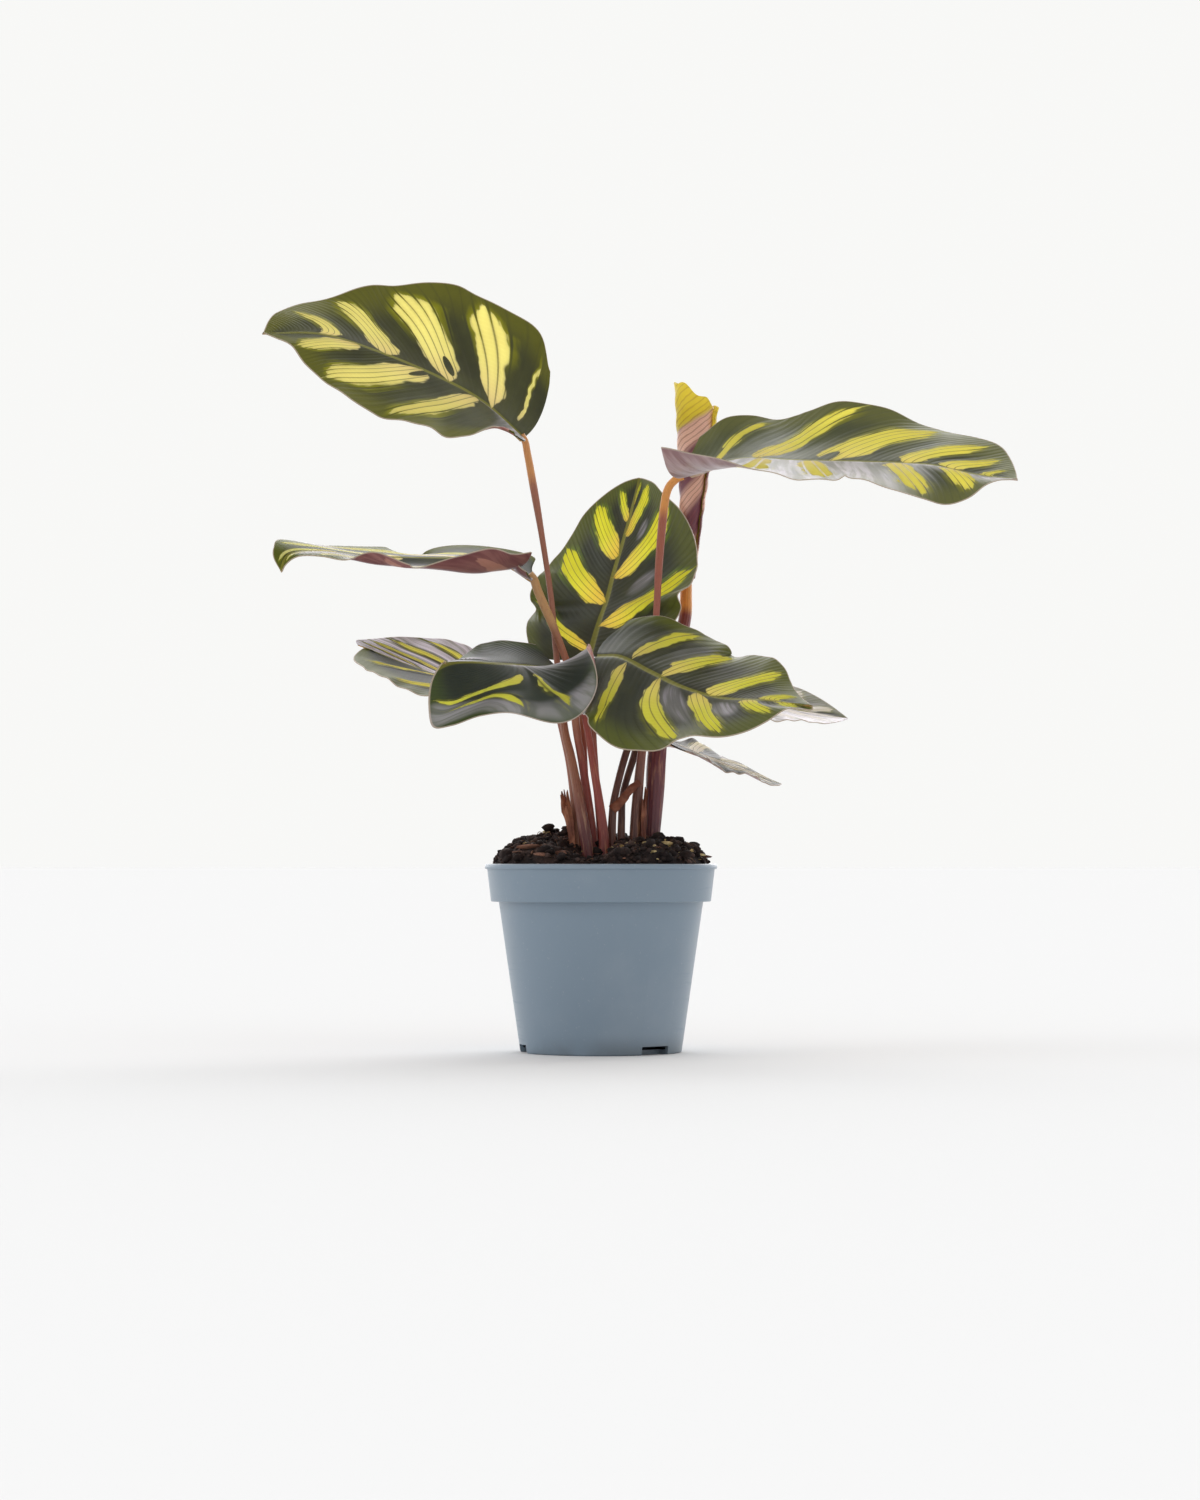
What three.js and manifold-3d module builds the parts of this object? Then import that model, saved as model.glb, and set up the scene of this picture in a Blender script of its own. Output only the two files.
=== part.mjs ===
// A small potted peacock plant: nine open leaves and one that is still rolled, on slim
// stalks in a heap of dark soil, in a round thin-walled nursery pot.
// Sizes are in millimetres and angles in degrees. The origin is the centre of the pot's
// foot, X points to the right, Y to the back and Z up.

import * as THREE from "three";
import { mergeVertices } from "three/addons/utils/BufferGeometryUtils.js";
import Module from "manifold-3d";

const wasm = await Module();
wasm.setup();

// Pot: a lip, a collar band under it and a tapering body with notches at its foot
const POT_HEIGHT = 48.5;
const LIP_RADIUS = 30;
const LIP_HEIGHT = 1.3;
const BAND_TOP_RADIUS = 29.4;
const BAND_FOOT_RADIUS = 28.4;
const BAND_FOOT = 38.8;
const BODY_TOP_RADIUS = 26.4;
const FOOT_RADIUS = 20.8;
const FOOT_BEVEL = 0.5;
const WALL = 1;
const FLOOR = 1.2;
const POT_SIDES = 56;
const NOTCH_ANGLES = [-48, 72, 192];
const NOTCH_WIDTH = 9;
const NOTCH_HEIGHT = 2.2;
const NOTCH_DEPTH = 3.5;

// Soil
const GAP = 0.3;
const SOIL_EDGE = 47.5;
const SOIL_HEAP = 7;
const SOIL_SIDES = 40;
const SOIL_RINGS = 11;

// Stalks
const STALK_SIDES = 8;
const STALK_RINGS = 15;

// Blades
const BLADE_THICKNESS = 0.65;
const RIB_THICKNESS = 1.5;
const BLADE_ROWS = 18;
const RIB_SHARE = 0.05;
const BLADE_COLUMNS = [0, RIB_SHARE, 0.28, 0.52, 0.76, 1];

// Half outline of every blade: shares of its length and of its half width, from the lobe
// beside the stalk round to the tip
const OUTLINE = [
  [0.02, 0.76], [0.19, 0.96], [0.38, 1], [0.57, 0.9], [0.75, 0.66], [0.89, 0.34], [1, 0],
];
const VEIN_SWEEP = 2;

const DEGREE = Math.PI / 180;
const UP = new THREE.Vector3(0, 0, 1);
const RIGHT = 1;
const LEFT = -1;

const BLADE_GREEN = { color: 0x5f6a35, roughness: 0.42, metalness: 0 };
const STALK_BROWN = { color: 0x8a4f3e, roughness: 0.5, metalness: 0 };
const NEW_LEAF_PURPLE = { color: 0x9a5f60, roughness: 0.5, metalness: 0 };
const SHEATH_MAROON = { color: 0x5a3038, roughness: 0.5, metalness: 0 };
const DRY_BROWN = { color: 0x95623c, roughness: 0.85, metalness: 0 };
const POT_BLUE_GREY = { color: 0x7c8c9c, roughness: 0.55, metalness: 0 };
const SOIL_BROWN = { color: 0x35281f, roughness: 0.95, metalness: 0 };

// Each leaf: the midrib from the stalk to the tip, how far the blade is turned about it
// (positive shows the face to the right), and for each half its width, its fold from the
// midrib, its curl, its wave (height, count, start) and how far its lobe reaches back.
// Turn, fold and curl are given along the midrib. The stalk runs up from the soil.
const LEAVES = [
  {
    name: "top_left",
    midrib: [
      [-20, -4, 158.5], [-30, -9.5, 168], [-41, -14, 173.5], [-56.5, -19.5, 178],
      [-71, -24.5, 181.5], [-85, -31, 181.5],
    ],
    turn: [-40, -42, -43],
    right: {
      width: 29, fold: [20, -5, 8], curl: [33, 45, -20],
      wave: [-2.4, 3.7, 0.2], lobe: 0.07,
    },
    left: {
      width: 25.5, fold: [20, -10, 5], curl: [-6, 6, -33],
      wave: [-1.2, 3.5, 0.2], lobe: 0.04,
    },
    stalk: [
      [-3.2, -7, 30], [-3.2, -7, 49], [-4.5, -6.7, 58.5], [-7.5, -6, 75], [-9.5, -5.5, 84],
      [-11.5, -5, 102.5], [-13, -4.5, 118], [-15.5, -4, 134.5], [-18, -4, 149], [-19.1, -3.8, 155],
      [-19.2, -3.9, 157.2],
    ],
    girth: [1.6, 1.6, 1.55, 1.25, 1.1, 1.05, 1.05, 1.05, 1.25, 1.2],
  },
  {
    name: "top_right",
    midrib: [
      [23, -8, 149], [35.5, -11, 152.5], [51, -11.5, 152], [66.5, -12.5, 151.5],
      [83.5, -18.5, 150], [94.5, -23.5, 147], [104, -34, 144.5],
    ],
    turn: [13, 23, 31],
    right: {
      width: 25, fold: [40, 5, 4, 1, -1], curl: [10, 4, 12, -15, -60],
      wave: [1.8, 2.1, 0], lobe: 0.15,
    },
    left: { width: 25, fold: [-9, 8, 9], curl: [60, 15, -16], wave: [3.2, 2.4, 0.1], lobe: 0.07 },
    stalk: [
      [8.9, -1.4, 30], [8.9, -1.4, 49], [9.1, -1.6, 60], [9.7, -2, 69], [10.6, -2.8, 78],
      [12, -3.6, 90.5], [14, -4, 109], [15, -5.5, 126.5], [16.2, -7.6, 140], [17.3, -8, 145],
      [19.4, -8, 147.4], [21, -7.9, 148.1],
    ],
    girth: [1.9, 1.9, 1.7, 1.4, 1.2, 1.05, 1.05, 1.05, 1.1, 1.25, 1.2],
  },
  {
    name: "middle_left",
    midrib: [
      [-17.5, -8, 122], [-24.5, -9.5, 126], [-33.5, -16.5, 126.5], [-45.5, -24, 126],
      [-58, -28, 126], [-70, -35.5, 126.5], [-77, -43, 125], [-79, -45, 120.5],
    ],
    turn: [-5, -7, -17],
    right: { width: 23, fold: [9, 2, 11], curl: [12, -5, 1], wave: [-1.9, 1.9, 0.75], lobe: 0.07 },
    left: { width: 22, fold: [7, -2, 4], curl: [-32, 0, -4], wave: [-1.2, 1.9, 0.5], lobe: 0.07 },
    stalk: [
      [0.8, -6.9, 30], [0.8, -6.9, 49], [0.4, -7, 58.5], [-2, -7, 74], [-3.5, -7, 83],
      [-5.5, -7.5, 92], [-9, -7.5, 101], [-12.5, -7.5, 110], [-14.5, -7.5, 114.5],
      [-16.3, -7.6, 118.8], [-16.9, -7.8, 120.6],
    ],
    girth: [1.5, 1.5, 1.45, 1.25, 1.15, 1.05, 1, 1.05, 1.25, 1.2],
  },
  {
    name: "left_back",
    midrib: [
      [-16, -2, 93], [-26, 2, 94], [-35.5, 6, 96], [-45, 12, 99], [-53, 17.5, 102],
      [-59, 21.5, 104.5], [-65, 28, 107],
    ],
    turn: [-22, -14, -35],
    right: { width: 20, fold: [15, 10, 30], curl: [0, 0, 0], wave: [-1.5, 2.4, 0.3], lobe: 0.07 },
    left: { width: 20, fold: [0, 15, -5], curl: [0, 0, 0], wave: [-1.2, 2.2, 0.4], lobe: 0.07 },
    stalk: [
      [-5.9, -3.4, 30], [-5.9, -3.4, 49], [-6.4, -3, 60], [-7.8, -2.6, 72.5], [-9.4, -2.2, 81],
      [-11, -2, 88], [-12.8, -2.1, 92.3], [-14.6, -2.2, 93.2],
    ],
    girth: [1.4, 1.4, 1.3, 1.2, 1.05, 1, 1.1, 1.2],
  },
  {
    name: "left_front",
    midrib: [
      [-10.5, -16, 98], [-18, -22, 98.5], [-26.5, -32, 98], [-35, -41, 98], [-39, -43, 94],
      [-40.5, -43.5, 87.5], [-41, -44, 81],
    ],
    turn: [-15, -26, -36],
    right: {
      width: 18, fold: [10, -18, -60], curl: [30, -32, -19],
      wave: [1.4, 2.3, 0.8], lobe: 0.07,
    },
    left: { width: 26, fold: [28, -10, 3], curl: [-23, -7, 2], wave: [-1.3, 2.1, 0.5], lobe: 0.09 },
    stalk: [
      [-1.6, -3.6, 30], [-1.6, -3.6, 49], [-2.7, -3.8, 60], [-4.6, -4.3, 73], [-6.3, -6.3, 83],
      [-6.8, -10, 90], [-7.4, -13, 95.5], [-8.6, -14.6, 98], [-9.7, -15.4, 98.4],
    ],
    girth: [1.4, 1.4, 1.3, 1.15, 1.05, 1, 1.1, 1.2],
  },
  {
    name: "centre",
    midrib: [
      [-3, 6.5, 103], [-0.5, 11, 112], [1.5, 13.5, 118], [3.5, 17, 126], [6.5, 23, 136.5],
      [10.5, 33, 152],
    ],
    turn: [4, 3, -6],
    right: { width: 24, fold: [8, 0, 17], curl: [1, 1, -1], wave: [1.2, 2.2, 0.5], lobe: 0.07 },
    left: { width: 22.5, fold: [9, 0, 16], curl: [-4, -8, -10], wave: [3.4, 1.8, 0.6], lobe: 0.07 },
    stalk: [
      [-3.6, -0.2, 30], [-3.6, -0.2, 49], [-3.8, 0, 60], [-4.4, 0.6, 73], [-4.8, 2, 84],
      [-4.6, 4, 94], [-3.6, 5.6, 100], [-3.2, 6.1, 101.8],
    ],
    girth: [1.3, 1.3, 1.25, 1.15, 1.05, 1, 1.1, 1.2],
  },
  {
    name: "right_front",
    midrib: [
      [-1, -17, 101.5], [5, -20, 101], [12.5, -24, 97], [20, -30, 93], [29.5, -34.5, 90],
      [40.5, -42.5, 89], [52, -47.5, 87.5],
    ],
    turn: [34, 34, 26],
    right: { width: 25, fold: [-1, -2, 0], curl: [-14, 2, -15], wave: [3, 2.6, 0.6], lobe: 0.07 },
    left: {
      width: 22.5, fold: [-3, 5, -5], curl: [3, -16, 10],
      wave: [-2.3, 1.7, 0.6], lobe: 0.07,
    },
    stalk: [
      [0.4, -0.3, 30], [0.4, -0.3, 49], [-0.3, -0.5, 60], [-1.4, -1, 72], [-2, -2.6, 82],
      [-1.9, -6, 89], [-2.6, -11, 94.5], [-4.4, -14.5, 98.5], [-4.2, -16.4, 101.2],
      [-2.1, -17, 101.6],
    ],
    girth: [1.3, 1.3, 1.25, 1.1, 1, 0.95, 0.95, 0.95, 1.1, 1.15],
  },
  {
    name: "right_back",
    midrib: [[18.5, 20, 94.5], [30, 27, 94], [42.5, 33.5, 91.5], [55.5, 39, 89.5], [67, 44, 88]],
    turn: [26, 20, 25],
    right: { width: 22, fold: [12, 8, 10], curl: [-3, -8, 7], wave: [0.8, 2.2, 0], lobe: 0.07 },
    left: { width: 22, fold: [10, 12, 18], curl: [0, -5, -6], wave: [0.8, 2.2, 0.2], lobe: 0.07 },
    stalk: [
      [2.7, -3.4, 30], [2.7, -3.4, 49], [2.9, -3.6, 60], [3.7, -3.4, 66.5], [6.6, -1, 77.5],
      [9.5, 4, 84], [13, 11, 90.5], [16, 17, 94], [17.4, 18.9, 94.5],
    ],
    girth: [1.4, 1.4, 1.3, 1.05, 0.95, 0.95, 0.95, 1.1, 1.15],
  },
  {
    name: "lower_right",
    midrib: [
      [16, 17, 82], [24.5, 22, 78.5], [33.5, 26.5, 75.5], [41.5, 30.5, 72.5], [48.5, 34.5, 70],
    ],
    turn: [7, 14, 13],
    right: { width: 18, fold: [-8, 0, -5], curl: [-7, -2, -3], wave: [-0.6, 2.3, 0.5], lobe: 0.07 },
    left: { width: 18, fold: [-4, 6, 0], curl: [-6, -6, 7], wave: [-1.2, 2.5, 0.6], lobe: 0.07 },
    stalk: [
      [5.2, -0.6, 30], [5.2, -0.6, 49], [5.3, -0.3, 60], [5.8, 0.6, 67], [8.6, 3.6, 76.5],
      [9.8, 8, 80.5], [12, 13.4, 83], [15.2, 16.4, 82.5],
    ],
    girth: [1.3, 1.3, 1.2, 1, 0.9, 0.95, 1.1, 1.15],
  },
];

// The rolled leaf: a scroll that widens upwards round its own axis
const SCROLL = {
  axis: [[22.5, 20, 124], [23.5, 22, 137], [24.5, 24, 152], [25.5, 25.5, 177]],
  radius: [2.5, 3.5, 5, 6.5],
  pitch: 1,
  turns: 1.35,
  start: -25,
  drop: 0.13,
  flap: 2.2,
  columns: 26,
  rows: 10,
};
const SCROLL_STALK = {
  path: [
    [13.2, 2.2, 30], [13.2, 2.2, 49], [13.2, 2.2, 55], [14, 2.5, 67.5], [14.5, 3, 76.5],
    [16, 6, 88.5], [19, 11, 101.5], [22, 16, 112.5], [22.5, 19, 120], [22.5, 19.8, 123.4],
  ],
  girth: [1.7, 1.7, 1.9, 2.3, 2.5, 2.2, 1.9, 1.8, 1.7, 1.5],
};

// Dry scales left at the feet of the stalks: part of a sleeve round a stalk, between two
// angles and two shares of the stalk's length, and a torn strip between two stalks
const SCALES = [
  { name: "scale_left", around: "left_back", from: 150, to: 240, foot: 0.24, head: 0.58, flare: 1.2 },
  { name: "scale_right", around: "top_right", from: -60, to: 50, foot: 0.14, head: 0.32, flare: 0.2 },
];
const BRIDGE = { path: [[5.5, -5.3, 62.5], [6, -5.4, 66], [7.4, -5.3, 68.6], [9.6, -5, 69.4]], width: 3.4 };

const curveOf = (points) => {
  const places = points.map(([x, y, z]) => new THREE.Vector3(x, y, z));
  return new THREE.CatmullRomCurve3(places, false, "catmullrom", 0.5);
};

// A smooth value through evenly spaced ones
function blend(values, share) {
  const last = values.length - 1;
  const place = THREE.MathUtils.clamp(share, 0, 1) * last;
  const i = Math.min(Math.floor(place), last - 1);
  const f = place - i;
  const at = (k) => {
    if (k < 0) return 2 * values[0] - values[1];
    if (k > last) return 2 * values[last] - values[last - 1];
    return values[k];
  };
  const [a, b, c, d] = [at(i - 1), at(i), at(i + 1), at(i + 2)];
  const bend = 2 * a - 5 * b + 4 * c - d;
  const twist = 3 * b - 3 * c + d - a;
  return 0.5 * (2 * b + (c - a) * f + bend * f ** 2 + twist * f ** 3);
}

// Points and faces of one closed surface
class Skin {
  constructor() {
    this.points = [];
    this.faces = [];
  }

  add(point) {
    this.points.push(point.x, point.y, point.z);
    return this.points.length / 3 - 1;
  }

  // Four corners, counter-clockwise from outside, split from the first to the third
  quad(a, b, c, d) {
    if (a !== b && b !== c && c !== a) this.faces.push(a, b, c);
    if (a !== c && c !== d && d !== a) this.faces.push(a, c, d);
  }

  // A ring of corners closed by a point in the middle of them
  cap(ring, middle, turned) {
    const m = this.add(middle);
    ring.forEach((a, k) => {
      const b = ring[(k + 1) % ring.length];
      this.faces.push(...(turned ? [b, a, m] : [a, b, m]));
    });
  }

  geometry() {
    const geometry = new THREE.BufferGeometry();
    geometry.setAttribute("position", new THREE.Float32BufferAttribute(this.points, 3));
    geometry.setIndex(this.faces);
    return geometry;
  }
}

// One leaf blade as a surface over two shares: u along it, from the stalk to the tip, and
// v across one half, from the midrib to the margin along a side vein
class Blade {
  constructor(leaf) {
    this.leaf = leaf;
    this.midrib = curveOf(leaf.midrib);
    this.length = this.midrib.getLength();
  }

  half(side) {
    return side === RIGHT ? this.leaf.right : this.leaf.left;
  }

  // The midrib's point, direction, upper normal and right at a distance from the stalk
  frame(distance) {
    const share = THREE.MathUtils.clamp(distance / this.length, 0, 1);
    const point = this.midrib.getPointAt(share);
    const along = this.midrib.getTangentAt(share);
    point.addScaledVector(along, distance - share * this.length);
    const upper = UP.clone().addScaledVector(along, -along.z).normalize();
    const turn = blend(this.leaf.turn, share) * DEGREE;
    const normal = upper.clone().multiplyScalar(Math.cos(turn));
    normal.addScaledVector(along.clone().cross(upper), Math.sin(turn));
    return { point, along, normal, right: along.clone().cross(normal) };
  }

  // Where the share v of the side vein that starts at u lies when the leaf is pressed flat
  flat(u, v, side) {
    const half = this.half(side);
    const around = 1 - (1 - u) ** VEIN_SWEEP;
    const end = [0, 1].map((k) => blend(OUTLINE.map((place) => place[k]), around));
    const back = half.lobe * Math.max(0, 1 - u / 0.35) ** 2;
    const start = [u * this.length, 0];
    const finish = [end[0] * this.length, end[1] * half.width];
    const bend = [start[0] * 0.7 + finish[0] * 0.3 - back * this.length, finish[1] * 0.55];
    return [0, 1].map((k) => (1 - v) ** 2 * start[k] + 2 * v * (1 - v) * bend[k] + v * v * finish[k]);
  }

  at(u, v, side) {
    const half = this.half(side);
    const [along, across] = this.flat(u, v, side);
    const share = THREE.MathUtils.clamp(along / this.length, 0, 1);
    const { point, normal, right } = this.frame(along);
    const fold = blend(half.fold, share) * DEGREE;
    const curl = (blend(half.curl, share) || 0.01) * DEGREE;
    const reach = across / half.width;
    const slope = fold + curl * reach;
    const [height, count, start] = half.wave;
    const wave = height * reach ** 2 * Math.sin(2 * Math.PI * (count * share + start));
    const out = (half.width / curl) * (Math.sin(slope) - Math.sin(fold)) - wave * Math.sin(slope);
    const lift = (-half.width / curl) * (Math.cos(slope) - Math.cos(fold)) + wave * Math.cos(slope);
    return point.addScaledVector(right, side * out).addScaledVector(normal, lift);
  }

  // The upper normal of the bent surface
  normal(u, v, side) {
    if (v < RIB_SHARE / 2) return this.frame(u * this.length).normal;
    const step = 0.01;
    const low = Math.min(Math.max(u, step), 1 - 2 * step);
    const along = this.at(low + step, v, side).sub(this.at(low - step, v, side));
    const across = this.at(low, v, side).sub(this.at(low, v - step, side));
    return across.cross(along).multiplyScalar(side).normalize();
  }

  mesh() {
    const skin = new Skin();
    const last = BLADE_COLUMNS.length - 1;
    const across = [];
    for (let k = last; k > 0; k -= 1) across.push([BLADE_COLUMNS[k], LEFT]);
    for (let k = 0; k <= last; k += 1) across.push([BLADE_COLUMNS[k], RIGHT]);
    const point = this.at(1, 0, RIGHT);
    const tip = { upper: skin.add(point) };
    tip.lower = skin.add(point.addScaledVector(this.frame(this.length).normal, -BLADE_THICKNESS));
    const rows = [];
    for (let row = 0; row < BLADE_ROWS; row += 1) {
      const u = 1 - (1 - row / BLADE_ROWS) ** 0.72;
      rows.push(across.map(([v, side]) => {
        const thickness = v > 0 ? BLADE_THICKNESS : BLADE_THICKNESS * u + RIB_THICKNESS * (1 - u);
        const point = this.at(u, v, side);
        const lower = point.clone().addScaledVector(this.normal(u, v, side), -thickness);
        return { upper: skin.add(point), lower: skin.add(lower) };
      }));
    }
    rows.push(across.map(() => tip));
    for (let row = 0; row < BLADE_ROWS; row += 1) {
      const [near, far] = [rows[row], rows[row + 1]];
      for (let k = 0; k < across.length - 1; k += 1) {
        skin.quad(near[k].upper, near[k + 1].upper, far[k + 1].upper, far[k].upper);
        skin.quad(near[k].lower, far[k].lower, far[k + 1].lower, near[k + 1].lower);
      }
      const end = across.length - 1;
      skin.quad(near[0].lower, near[0].upper, far[0].upper, far[0].lower);
      skin.quad(near[end].upper, near[end].lower, far[end].lower, far[end].upper);
    }
    for (let k = 0; k < across.length - 1; k += 1) {
      const [a, b] = [rows[0][k], rows[0][k + 1]];
      skin.quad(a.upper, a.lower, b.lower, b.upper);
    }
    return skin.geometry();
  }
}

// A stalk: round rings along its curve, from its foot in the soil to the blade
class Stalk {
  constructor(path, girth) {
    this.curve = curveOf(path);
    this.girth = girth;
  }

  radius(share) {
    return blend(this.girth, share);
  }

  // Its surface with every radius grown by the same allowance, up to a share of its length
  skin(allowance = 0, upTo = 1) {
    const skin = new Skin();
    const frames = this.curve.computeFrenetFrames(STALK_RINGS, false);
    const rings = [];
    const count = Math.round(STALK_RINGS * upTo);
    for (let i = 0; i <= count; i += 1) {
      const middle = this.curve.getPointAt(i / STALK_RINGS);
      if (i === 0) middle.z -= allowance;
      const radius = this.radius(i / STALK_RINGS) + allowance;
      const ring = [];
      for (let k = 0; k < STALK_SIDES; k += 1) {
        const angle = (2 * Math.PI * k) / STALK_SIDES;
        const out = frames.normals[i].clone().multiplyScalar(Math.cos(angle) * radius);
        out.addScaledVector(frames.binormals[i], Math.sin(angle) * radius);
        ring.push(skin.add(out.add(middle)));
      }
      rings.push({ ring, middle });
    }
    for (let i = 0; i < count; i += 1) {
      for (let k = 0; k < STALK_SIDES; k += 1) {
        const next = (k + 1) % STALK_SIDES;
        skin.quad(rings[i].ring[k], rings[i].ring[next], rings[i + 1].ring[next], rings[i + 1].ring[k]);
      }
    }
    skin.cap(rings[0].ring, rings[0].middle, true);
    skin.cap(rings[count].ring, rings[count].middle, false);
    return skin.geometry();
  }
}

// A sheet of even thickness over a grid of outer and inner points
function sheet(outer, inner) {
  const skin = new Skin();
  const top = outer.map((row) => row.map((point) => skin.add(point)));
  const low = inner.map((row) => row.map((point) => skin.add(point)));
  const [rows, columns] = [top.length - 1, top[0].length - 1];
  for (let i = 0; i < rows; i += 1) {
    for (let k = 0; k < columns; k += 1) {
      skin.quad(top[i][k], top[i][k + 1], top[i + 1][k + 1], top[i + 1][k]);
      skin.quad(low[i][k], low[i + 1][k], low[i + 1][k + 1], low[i][k + 1]);
    }
    skin.quad(low[i][0], top[i][0], top[i + 1][0], low[i + 1][0]);
    skin.quad(top[i][columns], low[i][columns], low[i + 1][columns], top[i + 1][columns]);
  }
  for (let k = 0; k < columns; k += 1) {
    skin.quad(top[0][k], low[0][k], low[0][k + 1], top[0][k + 1]);
    skin.quad(top[rows][k], top[rows][k + 1], low[rows][k + 1], low[rows][k]);
  }
  return skin.geometry();
}

function scroll() {
  const axis = curveOf(SCROLL.axis);
  const layer = (depth) => {
    const rows = [];
    for (let i = 0; i <= SCROLL.rows; i += 1) {
      const row = [];
      for (let k = 0; k <= SCROLL.columns; k += 1) {
        const wound = (k / SCROLL.columns) * SCROLL.turns;
        const angle = (SCROLL.start + 360 * wound) * DEGREE;
        const share = (i / SCROLL.rows) * (1 - (SCROLL.drop * (1 + Math.cos(angle))) / 2);
        const flap = SCROLL.flap * share ** 8 * Math.max(0, 1 - wound / 0.1);
        const radius = blend(SCROLL.radius, share) - SCROLL.pitch * wound + flap - depth;
        const out = new THREE.Vector3(Math.cos(angle) * radius, Math.sin(angle) * radius, 0);
        row.push(out.add(axis.getPointAt(share)));
      }
      rows.push(row);
    }
    return rows;
  };
  return sheet(layer(0), layer(BLADE_THICKNESS));
}

// Part of a sleeve round a stalk, with a torn upper edge
function scale({ from, to, foot, head, flare }, stalk) {
  const [rows, columns] = [5, 5];
  const layer = (depth) => {
    const grid = [];
    for (let i = 0; i <= rows; i += 1) {
      const row = [];
      for (let k = 0; k <= columns; k += 1) {
        const angle = (from + ((to - from) * k) / columns) * DEGREE;
        const torn = 1 - 0.25 * Math.abs(Math.sin(k * 2.1));
        const share = foot + ((head - foot) * i * torn) / rows;
        const radius = stalk.radius(share) + GAP + BLADE_THICKNESS - depth + flare * (i / rows) ** 4;
        const out = new THREE.Vector3(Math.cos(angle) * radius, Math.sin(angle) * radius, 0);
        row.push(out.add(stalk.curve.getPointAt(share)));
      }
      grid.push(row);
    }
    return grid;
  };
  return sheet(layer(0), layer(BLADE_THICKNESS));
}

// A narrow strip along a curve, upright across its width
function strip({ path, width }) {
  const curve = curveOf(path);
  const count = 6;
  const layer = (depth) => {
    const rows = [];
    for (let i = 0; i <= 2; i += 1) {
      const row = [];
      for (let k = 0; k <= count; k += 1) {
        const along = curve.getTangentAt(k / count);
        const out = along.clone().cross(UP).normalize();
        const rise = out.clone().cross(along).normalize();
        const taper = 1 - 0.5 * (k / count);
        const bow = 0.4 * Math.sin((Math.PI * i) / 2);
        const point = curve.getPointAt(k / count);
        point.addScaledVector(rise, width * (i / 2 - 0.5) * taper);
        row.push(point.addScaledVector(out, bow - depth));
      }
      rows.push(row);
    }
    return rows;
  };
  return sheet(layer(0), layer(BLADE_THICKNESS));
}

const toManifold = (geometry) => {
  const bare = geometry.clone();
  bare.deleteAttribute("normal");
  bare.deleteAttribute("uv");
  const merged = mergeVertices(bare, 1e-4);
  return new wasm.Manifold(new wasm.Mesh({
    numProp: 3,
    vertProperties: new Float32Array(merged.attributes.position.array),
    triVerts: new Uint32Array(merged.index.array),
  }));
};

const toGeometry = (solid) => {
  const mesh = solid.getMesh();
  const geometry = new THREE.BufferGeometry();
  geometry.setAttribute("position", new THREE.Float32BufferAttribute(mesh.vertProperties, 3));
  geometry.setIndex(Array.from(mesh.triVerts));
  return geometry;
};

const potInside = (height) =>
  THREE.MathUtils.mapLinear(height, 0, BAND_FOOT, FOOT_RADIUS, BODY_TOP_RADIUS) - WALL;

function pot() {
  const profile = [
    [0, 0], [FOOT_RADIUS - FOOT_BEVEL, 0], [FOOT_RADIUS, FOOT_BEVEL],
    [BODY_TOP_RADIUS, BAND_FOOT], [BAND_FOOT_RADIUS, BAND_FOOT],
    [BAND_TOP_RADIUS, POT_HEIGHT - LIP_HEIGHT], [LIP_RADIUS, POT_HEIGHT - LIP_HEIGHT],
    [LIP_RADIUS, POT_HEIGHT], [BAND_TOP_RADIUS - WALL, POT_HEIGHT],
    [BAND_FOOT_RADIUS - WALL, BAND_FOOT + WALL],
    [potInside(BAND_FOOT), BAND_FOOT + WALL], [potInside(FLOOR), FLOOR], [0, FLOOR],
  ];
  const body = new THREE.LatheGeometry(profile.map(([x, y]) => new THREE.Vector2(x, y)), POT_SIDES);
  body.rotateX(90 * DEGREE);
  let solid = toManifold(body);
  for (const angle of NOTCH_ANGLES) {
    const notch = new THREE.BoxGeometry(2 * NOTCH_DEPTH, NOTCH_WIDTH, 2 * NOTCH_HEIGHT);
    notch.translate(FOOT_RADIUS, 0, 0);
    notch.rotateZ(angle * DEGREE);
    solid = solid.subtract(toManifold(notch));
  }
  return toGeometry(solid);
}

// Height of the heaped soil: a flat heap with a shoulder, a crest at the left and clods
function soilTop(x, y) {
  const reach = Math.hypot(x, y) / (BAND_TOP_RADIUS - WALL);
  const heap = SOIL_HEAP * (1 - reach ** 9);
  const crest = 3.5 * Math.exp(-((x + 12) ** 2 + (y - 4) ** 2) / 40);
  const coarse = Math.sin(0.9 * x + 0.5 * y) * Math.cos(0.8 * y - 0.3 * x);
  const fine = 0.7 * Math.sin(1.7 * x - 1.1 * y + 1);
  return SOIL_EDGE + heap + crest + 0.8 * (coarse + fine) * (1 - reach ** 4);
}

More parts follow.
